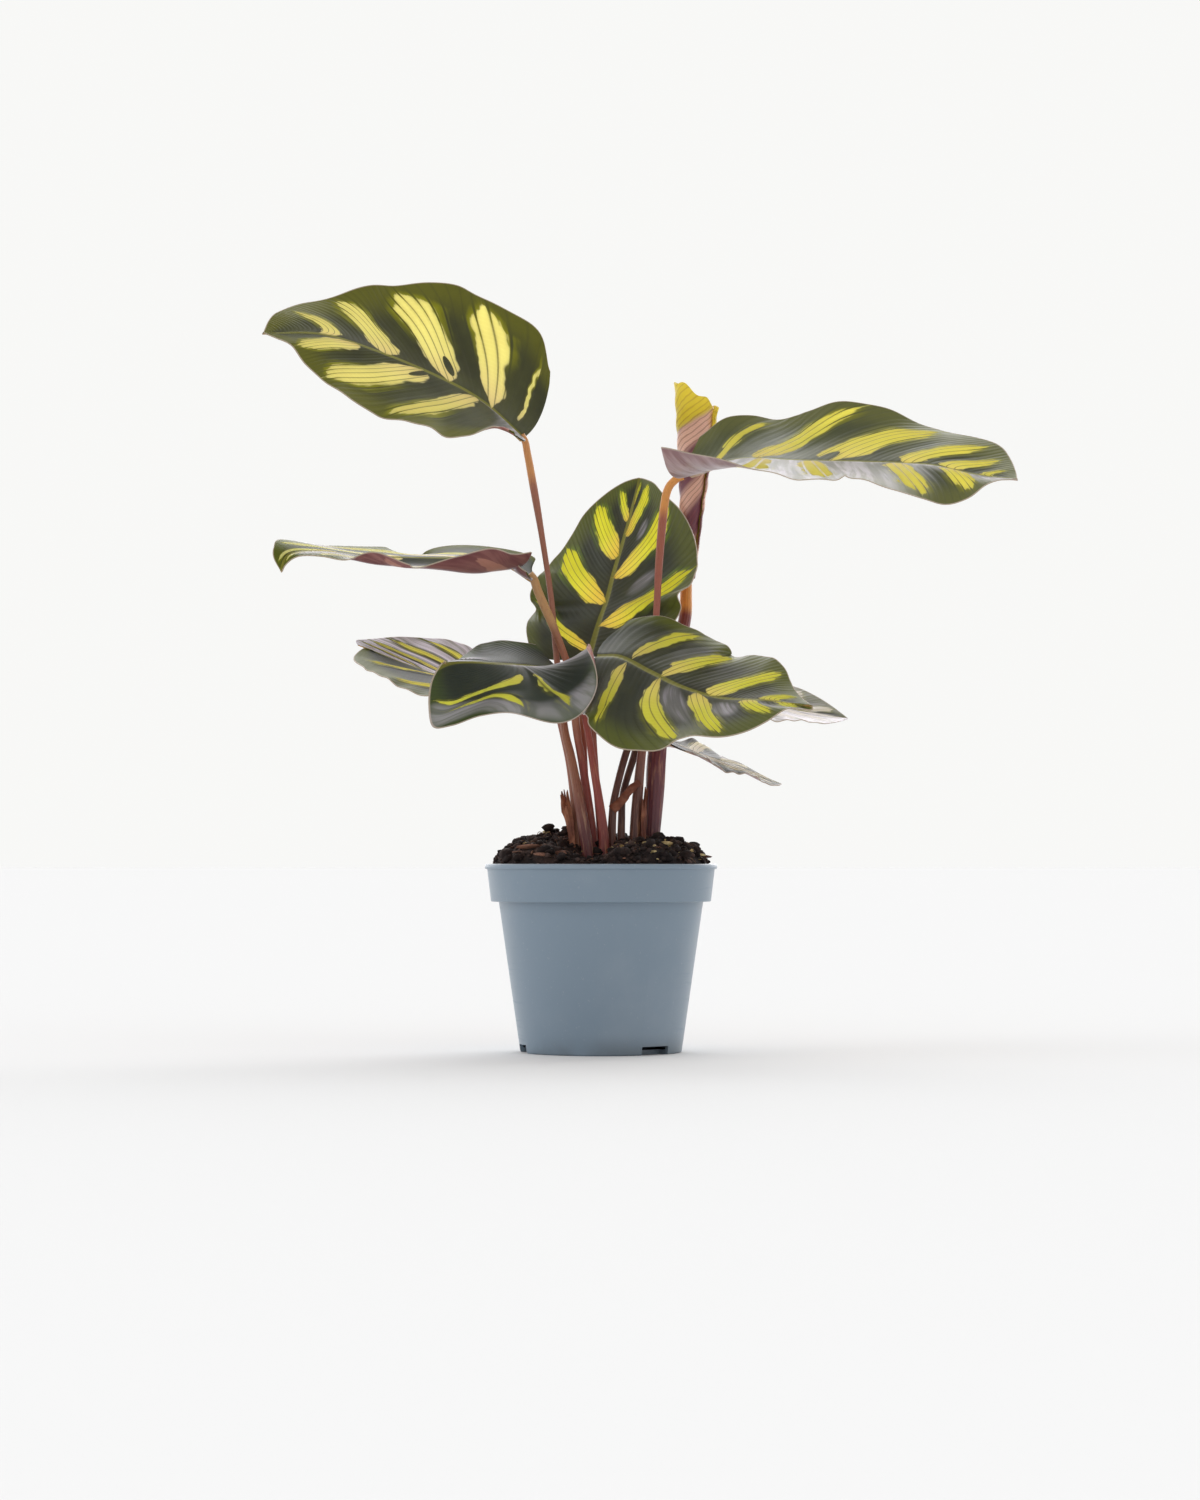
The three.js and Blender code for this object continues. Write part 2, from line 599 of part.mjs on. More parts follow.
function soil(stalks, sleeved) {
  const skin = new Skin();
  const band = BAND_FOOT + WALL;
  const sides = [
    [potInside(FLOOR + GAP) - GAP, FLOOR + GAP],
    [potInside(BAND_FOOT) - GAP, band + GAP],
    [BAND_FOOT_RADIUS - WALL - GAP, band + GAP + 0.1],
  ];
  const ringAt = (radius, heightAt) => {
    const ring = [];
    for (let k = 0; k < SOIL_SIDES; k += 1) {
      const angle = (2 * Math.PI * k) / SOIL_SIDES;
      const [x, y] = [radius * Math.cos(angle), radius * Math.sin(angle)];
      ring.push(skin.add(new THREE.Vector3(x, y, heightAt(x, y))));
    }
    return ring;
  };
  const rings = sides.map(([radius, height]) => ringAt(radius, () => height));
  for (let i = SOIL_RINGS; i > 0; i -= 1) {
    const share = (i / SOIL_RINGS) ** 0.8;
    rings.push(ringAt(share * (BAND_TOP_RADIUS - WALL - 2 * GAP), soilTop));
  }
  for (let i = 0; i < rings.length - 1; i += 1) {
    for (let k = 0; k < SOIL_SIDES; k += 1) {
      const next = (k + 1) % SOIL_SIDES;
      skin.quad(rings[i][k], rings[i][next], rings[i + 1][next], rings[i + 1][k]);
    }
  }
  skin.cap(rings[0], new THREE.Vector3(0, 0, sides[0][1]), true);
  skin.cap(rings[rings.length - 1], new THREE.Vector3(0, 0, soilTop(0, 0)), false);
  let solid = toManifold(skin.geometry());
  for (const [name, stalk] of stalks) {
    const allowance = sleeved.has(name) ? 3 * GAP + BLADE_THICKNESS : GAP;
    solid = solid.subtract(toManifold(stalk.skin(allowance, 0.5)));
  }
  return toGeometry(solid);
}

const group = new THREE.Group();
group.name = "potted_peacock_plant";

function piece(name, geometry, finish) {
  const mesh = new THREE.Mesh(geometry, new THREE.MeshStandardMaterial(finish));
  mesh.name = name;
  group.add(mesh);
}

const stalks = new Map(LEAVES.map((leaf) => [leaf.name, new Stalk(leaf.stalk, leaf.girth)]));
stalks.set("rolled", new Stalk(SCROLL_STALK.path, SCROLL_STALK.girth));

piece("pot", pot(), POT_BLUE_GREY);
piece("soil", soil(stalks, new Set(SCALES.map(({ around }) => around))), SOIL_BROWN);
for (const leaf of LEAVES) {
  piece(`blade_${leaf.name}`, new Blade(leaf).mesh(), BLADE_GREEN);
  piece(`stalk_${leaf.name}`, stalks.get(leaf.name).skin(), STALK_BROWN);
}
piece("blade_rolled", scroll(), NEW_LEAF_PURPLE);
piece("stalk_rolled", stalks.get("rolled").skin(), SHEATH_MAROON);
for (const row of SCALES) piece(row.name, scale(row, stalks.get(row.around)), DRY_BROWN);
piece("scale_bridge", strip(BRIDGE), DRY_BROWN);

export default group;
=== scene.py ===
"""The looks of a small potted peacock plant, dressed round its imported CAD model.

Every leaf blade, stalk, dry scale, the pot and the soil is rebuilt here as a finer piece of
the same form and stands for its CAD node. Lengths in the tables are millimetres, angles are
degrees, and every mesh is made in metres in the frame of the CAD model: the origin is the
centre of the pot's foot, X points to the right, Y to the back and Z up.
"""

import logging
import math
from dataclasses import dataclass, field, replace
from enum import Enum
from typing import Optional, Sequence, Union

import bmesh
import bpy
import numpy as np
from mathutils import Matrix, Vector, noise

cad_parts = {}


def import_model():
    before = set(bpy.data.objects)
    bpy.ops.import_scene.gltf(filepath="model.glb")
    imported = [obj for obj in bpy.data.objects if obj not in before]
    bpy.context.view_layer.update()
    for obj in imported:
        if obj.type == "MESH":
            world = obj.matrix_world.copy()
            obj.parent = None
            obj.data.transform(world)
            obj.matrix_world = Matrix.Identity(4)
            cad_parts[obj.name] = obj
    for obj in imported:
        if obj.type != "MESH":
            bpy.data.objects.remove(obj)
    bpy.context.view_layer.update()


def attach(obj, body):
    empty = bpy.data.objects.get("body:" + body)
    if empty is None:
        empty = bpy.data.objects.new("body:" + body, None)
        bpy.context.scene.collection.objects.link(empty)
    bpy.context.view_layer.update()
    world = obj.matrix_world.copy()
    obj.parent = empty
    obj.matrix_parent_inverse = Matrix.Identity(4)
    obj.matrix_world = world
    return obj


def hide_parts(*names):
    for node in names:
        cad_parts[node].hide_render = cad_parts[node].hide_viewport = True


MM = 0.001
TURN = 2 * math.pi
ROOT_LEVEL = 30
SOIL_LEVEL = 49
SAME_PLACE = 2e-6
NO_LENGTH = 1e-7
BODY = "root"
SOIL_SLOT = "peat_soil"
LOG = logging.getLogger("peacock_plant")
UP = np.array([0.0, 0.0, 1.0])

Array = np.ndarray
Material = bpy.types.Material
Socket = bpy.types.NodeSocket
Colour = tuple[float, float, float, float]
Stops = Sequence[tuple[float, Union[float, Colour]]]


def tint(red: int, green: int, blue: int) -> Colour:
    """Turn a display colour of 0 to 255 a channel into a scene-linear one.

    Args:
        red: The red channel.
        green: The green channel.
        blue: The blue channel.

    Returns:
        Linear red, green, blue and an alpha of one.
    """
    shares = [channel / 255 for channel in (red, green, blue)]
    linear = [s / 12.92 if s <= 0.04045 else ((s + 0.055) / 1.055) ** 2.4 for s in shares]
    return (linear[0], linear[1], linear[2], 1.0)


def smooth_blend(values: Sequence, share: Array) -> Array:
    """Follow a smooth curve through evenly spaced values.

    Args:
        values: Numbers or points, evenly spaced along the curve.
        share: How far along the curve, from 0 to 1.

    Returns:
        The value or point at each share.
    """
    known = np.asarray(values, float)
    last = len(known) - 1
    place = np.clip(np.asarray(share, float), 0, 1) * last
    index = np.minimum(place.astype(int), last - 1)
    f = place - index
    if known.ndim > 1:
        f = f[..., None]
    first = 2 * known[0] - known[1]
    beyond = 2 * known[-1] - known[-2]
    padded = np.concatenate([[first], known, [beyond]])
    a, b, c, d = (padded[index + k] for k in range(4))
    bend = 2 * a - 5 * b + 4 * c - d
    twist = 3 * b - 3 * c + d - a
    return 0.5 * (2 * b + (c - a) * f + bend * f**2 + twist * f**3)


def ease(values: Array, low: float, high: float) -> Array:
    """Rise smoothly from 0 at low to 1 at high."""
    share = np.clip((values - low) / (high - low), 0, 1)
    return share * share * (3 - 2 * share)


def waves(x: Array, y: Array, *rows: tuple[float, float, float]) -> Array:
    """Add up sine waves, each given by its height and its paces along x and along y."""
    return sum(height * np.sin(x * along + y * upward) for height, along, upward in rows)


def unit(vectors: Array) -> Array:
    """Scale vectors to a length of one, and leave those without a length as they are."""
    lengths = np.linalg.norm(vectors, axis=-1, keepdims=True)
    return vectors / np.maximum(lengths, 1e-12)


class Spline:
    """A smooth curve through points, walked by shares of its length."""

    STEPS = 801
    NEAR = 1e-3

    def __init__(self, points: Sequence) -> None:
        """Measure the curve.

        Args:
            points: The points that it runs through, in millimetres.
        """
        self.points = np.array(points, float) * MM
        self.steps = np.linspace(0, 1, self.STEPS)
        route = smooth_blend(self.points, self.steps)
        walked = np.cumsum(np.linalg.norm(np.diff(route, axis=0), axis=1))
        self.length = float(walked[-1])
        self.walked = np.concatenate([[0], walked]) / self.length

    def at(self, share: Array) -> Array:
        """Return the points at shares of the curve's length."""
        return smooth_blend(self.points, np.interp(share, self.walked, self.steps))

    def heading(self, share: Array) -> Array:
        """Find the curve's direction.

        Args:
            share: How far along the curve's length.

        Returns:
            A vector of length one for each share.
        """
        step = np.interp(share, self.walked, self.steps)
        ahead = smooth_blend(self.points, step + self.NEAR)
        return unit(ahead - smooth_blend(self.points, step - self.NEAR))

    def around(self, share: Array, angle: Array, reach: Array) -> Array:
        """Find points round the curve, each level with its place on it.

        Args:
            share: How far along the curve's length.
            angle: The way out of the curve as seen from above, in radians.
            reach: How far out, in millimetres.

        Returns:
            The points.
        """
        angle = np.broadcast_to(angle, share.shape)
        out = np.stack([np.cos(angle), np.sin(angle), 0 * angle], -1)
        return self.at(share) + out * (reach * MM)[..., None]


class Term:
    """A number in a material: an output socket that Python's own operators work on."""

    def __init__(self, shader: "Shader", socket: Socket) -> None:
        """Wrap one output socket of the shader's node tree."""
        self.shader = shader
        self.socket = socket

    def _math(self, operation: str, *values: "Value") -> "Term":
        """Add a Math node over values and return its result."""
        node = self.shader.add("ShaderNodeMath", {"operation": operation}, dict(enumerate(values)))
        return Term(self.shader, node.outputs[0])

    def __add__(self, other: "Value") -> "Term":
        """Add."""
        return self._math("ADD", self, other)

    __radd__ = __add__

    def __sub__(self, other: "Value") -> "Term":
        """Subtract other from this."""
        return self._math("SUBTRACT", self, other)

    def __rsub__(self, other: "Value") -> "Term":
        """Subtract this from other."""
        return self._math("SUBTRACT", other, self)

    def __mul__(self, other: "Value") -> "Term":
        """Multiply."""
        return self._math("MULTIPLY", self, other)

    __rmul__ = __mul__

    def __truediv__(self, other: "Value") -> "Term":
        """Divide this by other."""
        return self._math("DIVIDE", self, other)

    def __rtruediv__(self, other: "Value") -> "Term":
        """Divide other by this."""
        return self._math("DIVIDE", other, self)

    def __pow__(self, other: "Value") -> "Term":
        """Raise to a power."""
        return self._math("POWER", self, other)

    def __abs__(self) -> "Term":
        """Drop the sign."""
        return self._math("ABSOLUTE", self)

    def fraction(self) -> "Term":
        """Keep what is left after the whole number."""
        return self._math("FRACT", self)

    def above(self, edge: "Value") -> "Term":
        """Return 1 where this is over an edge, and 0 elsewhere."""
        return self._math("GREATER_THAN", self, edge)

    def wave(self) -> "Term":
        """Return the sine."""
        return self._math("SINE", self)

    def most(self, other: "Value") -> "Term":
        """Return the larger of this and other."""
        return self._math("MAXIMUM", self, other)

    def ease(self, low: "Value", high: "Value") -> "Term":
        """Rise smoothly between two values.

        Args:
            low: The result is 0 where this is low or less.
            high: The result is 1 where this is high or more.

        Returns:
            The share between them.
        """
        settings = {"interpolation_type": "SMOOTHSTEP"}
        values = {"Value": self, "From Min": low, "From Max": high}
        node = self.shader.add("ShaderNodeMapRange", settings, values)
        return Term(self.shader, node.outputs["Result"])

    def lines(self, spacing: float, breadth: float) -> "Term":
        """Return 1 on lines at a spacing, where breadth is half a line's share of it."""
        offset = abs((self / spacing).fraction() - 0.5)
        return 1 - offset.ease(0.0, breadth)


Value = Union[Term, float]
Source = Union[Term, Socket, float, Colour, Sequence[float]]


class Shader:
    """The nodes of one material, or of the room's light, under construction.

    COLOUR_MIX holds the numbers of a Mix node's sockets for colours: its factor, its two
    colours and its result.
    """

    COLOUR_MIX = (0, 6, 7, 2)

    def __init__(self, name: str, owner: Optional[bpy.types.World] = None) -> None:
        """Start an empty node tree.

        Args:
            name: The name of the new material.
            owner: The room's light, where the nodes are its own and not a material's.
        """
        self.material = owner or bpy.data.materials.new(name)
        self.material.use_nodes = True
        self.tree = self.material.node_tree
        self.tree.nodes.clear()

    def add(self, kind: str, settings: Optional[dict] = None,
            values: Optional[dict] = None) -> bpy.types.Node:
        """Add a node.

        Args:
            kind: The node's type.
            settings: What is set on the node itself first; "stops" fills its ramp.
            values: A value or link for each input socket, by name or index.

        Returns:
            The node.
        """
        node = self.tree.nodes.new(kind)
        for name, setting in (settings or {}).items():
            if name == "stops":
                self._fill_ramp(node.color_ramp, setting)
            else:
                setattr(node, name, setting)
        for key, value in (values or {}).items():
            if isinstance(value, Term):
                value = value.socket
            if isinstance(value, Socket):
                self.tree.links.new(value, node.inputs[key])
            else:
                node.inputs[key].default_value = value
        return node

    @staticmethod
    def _fill_ramp(ramp: bpy.types.ColorRamp, stops: Stops) -> None:
        """Set a ramp's stops.

        Args:
            ramp: The ramp.
            stops: For each stop its place, and a grey value or a colour.
        """
        while len(ramp.elements) > 1:
            ramp.elements.remove(ramp.elements[-1])
        for index, (place, value) in enumerate(stops):
            element = ramp.elements[0] if index == 0 else ramp.elements.new(place)
            element.position = place
            element.color = value if isinstance(value, tuple) else (value, value, value, 1.0)

    def ramp(self, along: Source, stops: Stops) -> Socket:
        """Return the colour that a ramp gives to a value."""
        return self.add("ShaderNodeValToRGB", {"stops": stops}, {0: along}).outputs[0]

    def level(self, along: Source, stops: Stops) -> Term:
        """Return the number that a ramp of greys gives to a value."""
        return Term(self, self.ramp(along, stops))

    def split(self, vector: Socket) -> list[Term]:
        """Return the three numbers of a vector."""
        parts = self.add("ShaderNodeSeparateXYZ", None, {0: vector}).outputs
        return [Term(self, part) for part in parts]

    def map(self, name: str) -> list[Term]:
        """Return the two numbers of a named surface map."""
        return self.split(self.add("ShaderNodeUVMap", {"uv_map": name}).outputs[0])[:2]

    def vector(self, x: Source, y: Source, z: Source = 0.0) -> Socket:
        """Join three numbers to a vector."""
        return self.add("ShaderNodeCombineXYZ", None, {0: x, 1: y, 2: z}).outputs[0]

    def place(self) -> Socket:
        """Return the point of the surface, in metres."""
        return self.add("ShaderNodeTexCoord").outputs["Object"]

    def grain(self, place: Source, scale: float, detail: float = 3.0,
              roughness: float = 0.55) -> Term:
        """Return soft random variation about 0.5, with scale features in a unit of place."""
        values = {"Vector": place, "Scale": scale, "Detail": detail, "Roughness": roughness}
        return Term(self, self.add("ShaderNodeTexNoise", None, values).outputs[0])

    def mix(self, factor: Source, low: Source, high: Source) -> Socket:
        """Mix two colours.

        Args:
            factor: 0 gives low and 1 gives high.
            low: The first colour.
            high: The second colour.

        Returns:
            The mixed colour.
        """
        share, first, second, result = self.COLOUR_MIX
        values = {share: factor, first: low, second: high}
        return self.add("ShaderNodeMix", {"data_type": "RGBA"}, values).outputs[result]

    def bump(self, height: Source, depth: float, strength: float = 1.0) -> Socket:
        """Return a normal from a relief of some depth in metres."""
        values = {"Height": height, "Distance": depth, "Strength": strength}
        return self.add("ShaderNodeBump", None, values).outputs[0]

    def principled(self, **values: Source) -> Socket:
        """Return a Principled surface; an underscore in a name stands for a space."""
        named = {name.replace("_", " "): value for name, value in values.items()}
        return self.add("ShaderNodeBsdfPrincipled", None, named).outputs[0]

    def clear(self, colour: Colour, normal: Socket) -> Socket:
        """Return a surface that light shines through in one colour."""
        values = {"Color": colour, "Normal": normal}
        return self.add("ShaderNodeBsdfTranslucent", None, values).outputs[0]

    def blend(self, factor: Source, low: Socket, high: Socket) -> Socket:
        """Mix two surfaces: a factor of 0 gives low and 1 gives high."""
        return self.add("ShaderNodeMixShader", None, {0: factor, 1: low, 2: high}).outputs[0]

    def finish(self, surface: Socket) -> Material:
        """Join the surface to the output and return the material."""
        self.add("ShaderNodeOutputMaterial", None, {"Surface": surface})
        return self.material


class Face(Enum):
    """The two faces of a leaf blade."""

    UPPER = "upper"
    UNDER = "under"


@dataclass(frozen=True)
class Stripe:
    """One light stripe of a half blade.

    It lies along a side vein: where on the midrib it starts, half its breadth halfway out,
    and how strongly it shows.
    """

    start: float
    breadth: float
    strength: float = 1.0


@dataclass(frozen=True)
class Spot:
    """A small oval on a half blade, either a dark one in a light stripe or a patch of painted
    sheen: where it lies, and half its two sizes.
    """

    start: float
    reach: float
    length: float = 0.016
    breadth: float = 0.10


def stripes(*rows: tuple[float, ...]) -> tuple[Stripe, ...]:
    """Make a half blade's light stripes from rows of their numbers."""
    return tuple(Stripe(*row) for row in rows)


def spots(*rows: tuple[float, ...]) -> tuple[Spot, ...]:
    """Make ovals from rows of their numbers."""
    return tuple(Spot(*row) for row in rows)


STANDARD_STRIPES = stripes((0.11, 0.025, 0.8), (0.29, 0.04), (0.51, 0.045), (0.73, 0.04, 0.9))


@dataclass(frozen=True)
class Half:
    """One half of a blade, from the midrib to the margin.

    Its width, and along the midrib its fold from the midrib and its curl; its wave (height,
    count and start), how far its lobe reaches back, and its light stripes. Lean is how much
    further towards the tip the stripes end than the side veins, as a share of the midrib.
    Pull moves the margin right and up, at even steps from the stalk to the tip. Spots are
    dark ovals in the stripes and sheens are patches of painted sheen on the green.
    """

    width: float
    fold: tuple[float, ...]
    curl: tuple[float, ...]
    wave: tuple[float, float, float]
    lobe: float = 0.07
    stripes: tuple[Stripe, ...] = STANDARD_STRIPES
    lean: tuple[float, ...] = (0.0, 0.0)
    pull: tuple[tuple[float, float], ...] = ((0.0, 0.0), (0.0, 0.0))
    spots: tuple[Spot, ...] = ()
    sheens: tuple[Spot, ...] = ()

    SKIRT = 2.5

    def stops(self) -> list[tuple[float, float]]:
        """Find how light the half is along the midrib.

        Returns:
            Shares of the midrib, each with 1 on a strong stripe, 0.5 at the stripe's edges
            and 0 between stripes.
        """
        stops = [(0.0, 0.0)]
        for stripe in self.stripes:
            start, breadth = stripe.start, stripe.breadth
            foot = start - self.SKIRT * breadth
            if foot < stops[-1][0]:
                foot = (foot + stops.pop()[0]) / 2
            stops += [(foot, 0.0), (start - breadth, 0.5), (start, 0.5 + 0.5 * stripe.strength),
                      (start + breadth, 0.5), (start + self.SKIRT * breadth, 0.0)]
        return [(min(max(0.0, place), 1.0), value) for place, value in stops]


@dataclass(frozen=True)
class LeafFinish:
    """The colours and gloss of one leaf, as drawn on both its faces.

    The shares for dark and light parts and for the under face are how much light shines
    through them, and the glow's is how strongly green shows beside the stripes. The painted
    sheen is a pale colour painted on what is seen at a slant, standing in for the reflection
    of the bright room: on each half, and on the under face, from the slant given for it.
    Parting keeps it off the green beside the stripes. Fine is how strongly the fine veins and
    the relief show.
    """

    dark: Colour = tint(60, 64, 44)
    deep: Colour = tint(44, 48, 38)
    margin: Colour = tint(88, 94, 36)
    glow: Colour = tint(146, 146, 16)
    lime: Colour = tint(222, 222, 120)
    cream: Colour = tint(246, 226, 150)
    # Pale colour for mottling in the stripes, also painted as highlights on the fine cross veins.
    bright: Colour = tint(252, 250, 196)
    line: Colour = tint(84, 84, 30)
    midrib: Colour = tint(124, 122, 52)
    # A pale line painted along the margin as a rim highlight.
    rim: Colour = tint(206, 186, 170)
    under_dark: Colour = tint(118, 62, 72)
    under_light: Colour = tint(226, 168, 148)
    under_rib: Colour = tint(190, 150, 90)
    through: Colour = tint(244, 240, 140)
    through_foot: Colour = tint(255, 246, 172)
    through_under: Colour = tint(250, 244, 170)
    under_share: float = 0.75
    # Painted sheen: a pale colour painted where a face is seen at a slant, standing in for the
    # reflection of the bright room.
    painted_sheen: Colour = tint(226, 218, 228)
    painted_sheen_share: float = 0.85
    parting: float = 0.25
    fine: float = 1.0
    # From which slant the painted sheen shows on each half and on the under face.
    painted_sheen_right: float = 0.76
    painted_sheen_left: float = 0.76
    painted_sheen_under: float = 0.8
    glow_share: float = 0.6
    light_share: float = 0.8
    dark_share: float = 0.05
    gloss: float = 0.40
    shine: float = 0.3


class Marking:
    """Where the parts of a leaf's pattern lie, read from its surface maps.

    BAR is how light a stripe has to be to show, from the midrib to the margin: it gives the
    stripes their outline. VEINS, STREAKS and RAGS are how many fine lines, streaks and ragged
    ends there are along the midrib, and WEBS how many cross lines out to the margin. The
    streaks break up the painted sheen and pale the under face in places.
    """

    VEINS = 38
    STREAKS = 38
    RAGS = 110
    WEBS = 26
    BAR = ((0.0, 0.98), (0.06, 0.74), (0.14, 0.52), (0.26, 0.4), (0.5, 0.46), (0.78, 0.48),
           (0.88, 0.72), (0.95, 1.0))

    def __init__(self, shader: Shader, right: Half, left: Half, fine: float) -> None:
        """Work out every mask of the pattern.

        Args:
            shader: The material that the masks are for.
            right: The blade's right half.
            left: The blade's left half.
            fine: How strongly the fine veins show.
        """
        start, side = shader.map("vein")
        across, rim = shader.map("reach")
        reach = abs(side)
        place = shader.place()
        sway = shader.grain(shader.vector(start * 5, side * 2.2), 1.6, 2.0) - 0.5
        ragged = shader.grain(shader.vector(start * self.RAGS, side * 5), 1.0, 2.0)
        ragged = (ragged - 0.5) * fine
        warped = start + sway * 0.05
        there = shader.level(warped, right.stops())
        here = shader.level(warped, left.stops())
        self.there = side.above(0.0)
        height = here + (there - here) * self.there
        bar = shader.level(reach, self.BAR)
        feather = reach.ease(0.35, 0.85)
        self.vein = start.lines(1 / self.VEINS, 0.15) * fine
        depth = height - bar + ragged * (0.04 + 0.25 * feather) + sway * 0.10
        depth = depth - self.vein * feather * 0.35
        self.sheen = reach * 0.0
        for sign, half in ((1, right), (-1, left)):
            for spot in half.spots:
                depth = depth - (1 - self._oval(start, side * sign, spot).ease(0.5, 1.5))
            # Patches of painted sheen on the green.
            for spot in half.sheens:
                self.sheen = self.sheen + (1 - self._oval(start, side * sign, spot).ease(0.1, 1.6))
        self.light = depth.ease(-0.03, 0.05)
        self.beside = depth.ease(-0.45, -0.2)
        self.halo = depth.ease(-0.3, 0.02) * reach.ease(0.35, 0.75) * (1 - reach.ease(0.88, 1.0))
        self.margin = reach.ease(0.66, 0.93)
        self.outward = reach.ease(0.0, 0.55)
        streaks = shader.vector(start * self.STREAKS, reach * 1.2)
        self.streak = shader.grain(streaks, 1.0, 3.0).ease(0.4, 0.6)
        crossing = shader.grain(place, 900.0, 1.0) * 0.3
        self.web = (reach * self.WEBS + crossing + start * 9).lines(1.0, 0.22) * fine
        breadth = 0.95 - 0.6 * start
        self.midrib = 1 - abs(across).ease(breadth * 0.75, breadth)
        # The thin band along the margin that takes the painted rim highlight.
        self.rim = 1 - rim.ease(0.14, 0.32)
        self.mottle = shader.grain(place, 220.0, 4.0)
        self.cloud = shader.grain(place, 60.0, 3.0)
        self.start = start

    @staticmethod
    def _oval(start: Term, side: Term, spot: Spot) -> Term:
        """Return how far out of a spot a place is: 0 in its middle and 1 on its rim."""
        return ((start - spot.start) / spot.length) ** 2 + ((side - spot.reach) / spot.breadth) ** 2


@dataclass(frozen=True)
class LeafFace:
    """The material of one face of a leaf.

    RELIEF is the depth of the veins and ribs in metres, on the upper face and the lower one.
    """

    name: str
    face: Face
    finish: LeafFinish
    right: Half
    left: Half

    RIBS = 44
    RELIEF = {Face.UPPER: 0.00008, Face.UNDER: 0.00014}

    def material(self) -> Material:
        """Join the face's colours, painted sheen, relief and the light that shines through.

        Returns:
            The face's material.
        """
        shader = Shader(f"{self.name}_{self.face.value}_face")
        mark = Marking(shader, self.right, self.left, self.finish.fine)
        colour = self._upper(shader, mark) if self.face is Face.UPPER else self._under(shader, mark)
        # Painted sheen: a pale colour mixed in where the face is seen at a slant, standing in for
        # the reflection of the bright room.
        facing = shader.add("ShaderNodeLayerWeight", None, {"Blend": 0.5}).outputs["Facing"]
        finish = self.finish
        steep = finish.painted_sheen_left + (finish.painted_sheen_right - finish.painted_sheen_left) * mark.there
        if self.face is Face.UNDER:
            steep = finish.painted_sheen_under
        painted_sheen = Term(shader, facing).ease(steep, 0.97) * finish.painted_sheen_share
        painted_sheen = painted_sheen * (0.45 + 0.55 * mark.streak) * (0.75 + 0.25 * mark.light)
        painted_sheen = painted_sheen * (1 - finish.parting * mark.beside)
        if self.face is Face.UPPER:
            painted_sheen = painted_sheen.most(mark.sheen * (0.05 + 0.22 * mark.streak + 0.2 * mark.cloud))
        colour = shader.mix(painted_sheen, colour, finish.painted_sheen)
        ribs = (mark.start * (self.RIBS * TURN)).wave() * 0.5
        relief = (ribs + mark.web * 0.10 + mark.mottle * 0.25 - mark.vein * 0.35) * finish.fine
        normal = shader.bump(relief, self.RELIEF[self.face], 0.6)
        roughness = finish.gloss + (mark.cloud - 0.5) * 0.16 + mark.light * 0.04
        surface = shader.principled(Base_Color=colour, Roughness=roughness, Normal=normal,
                                    Specular_IOR_Level=finish.shine)
        bright = mark.light * (1 - 0.8 * mark.vein) * (0.65 + 0.5 * mark.cloud + 0.15 * mark.web)
        if self.face is Face.UNDER:
            share = finish.dark_share + finish.under_share * bright
            through = shader.clear(finish.through_under, normal)
            return shader.finish(shader.blend(share, surface, through))
        foot = shader.clear(finish.through_foot, normal)
        through = shader.blend(mark.outward, foot, shader.clear(finish.through, normal))
        share = finish.dark_share + finish.light_share * bright + 0.10 * mark.halo
        return shader.finish(shader.blend(share, surface, through))

    def _upper(self, shader: Shader, mark: Marking) -> Socket:
        """Colour the green face.

        Args:
            shader: The face's nodes.
            mark: The masks of its pattern.

        Returns:
            The colour.
        """
        finish = self.finish
        green = shader.mix(mark.cloud.ease(0.35, 0.65), finish.dark, finish.deep)
        green = shader.mix(mark.margin, green, finish.margin)
        green = shader.mix(mark.halo * finish.glow_share, green, finish.glow)
        light = shader.mix(mark.outward, finish.cream, finish.lime)
        light = shader.mix(mark.cloud.ease(0.4, 0.7) * 0.45, light, finish.bright)
        # Painted highlights: the fine cross veins are lightened with the pale colour.
        light = shader.mix(mark.web * (1 - mark.vein) * 0.4, light, finish.bright)
        light = shader.mix(mark.vein * 0.9, light, finish.line)
        colour = shader.mix(mark.light, green, light)
        shade = shader.mix(mark.vein * (1 - mark.light) * 0.25, colour, finish.deep)
        spotted = shader.mix(mark.mottle.ease(0.45, 0.8) * 0.12, shade, finish.line)
        ribbed = shader.mix(mark.midrib, spotted, finish.midrib)
        # Painted rim highlight: a pale line along the margin.
        return shader.mix(mark.rim * 0.65, ribbed, finish.rim)

    def _under(self, shader: Shader, mark: Marking) -> Socket:
        """Colour the maroon face.

        Args:
            shader: The face's nodes.
            mark: The masks of its pattern.

        Returns:
            The colour.
        """
        finish = self.finish
        light = shader.mix(mark.vein * 0.6, finish.under_light, finish.under_dark)
        colour = shader.mix(mark.light * 0.85, finish.under_dark, light)
        cloudy = shader.mix(mark.cloud.ease(0.3, 0.75) * 0.25, colour, finish.under_light)
        cloudy = shader.mix(mark.streak * mark.cloud * 0.6, cloudy, finish.under_light)
        ribbed = shader.mix(mark.midrib, cloudy, finish.under_rib)
        # Painted rim highlight: a pale line along the margin.
        return shader.mix(mark.rim * 0.6, ribbed, finish.rim)


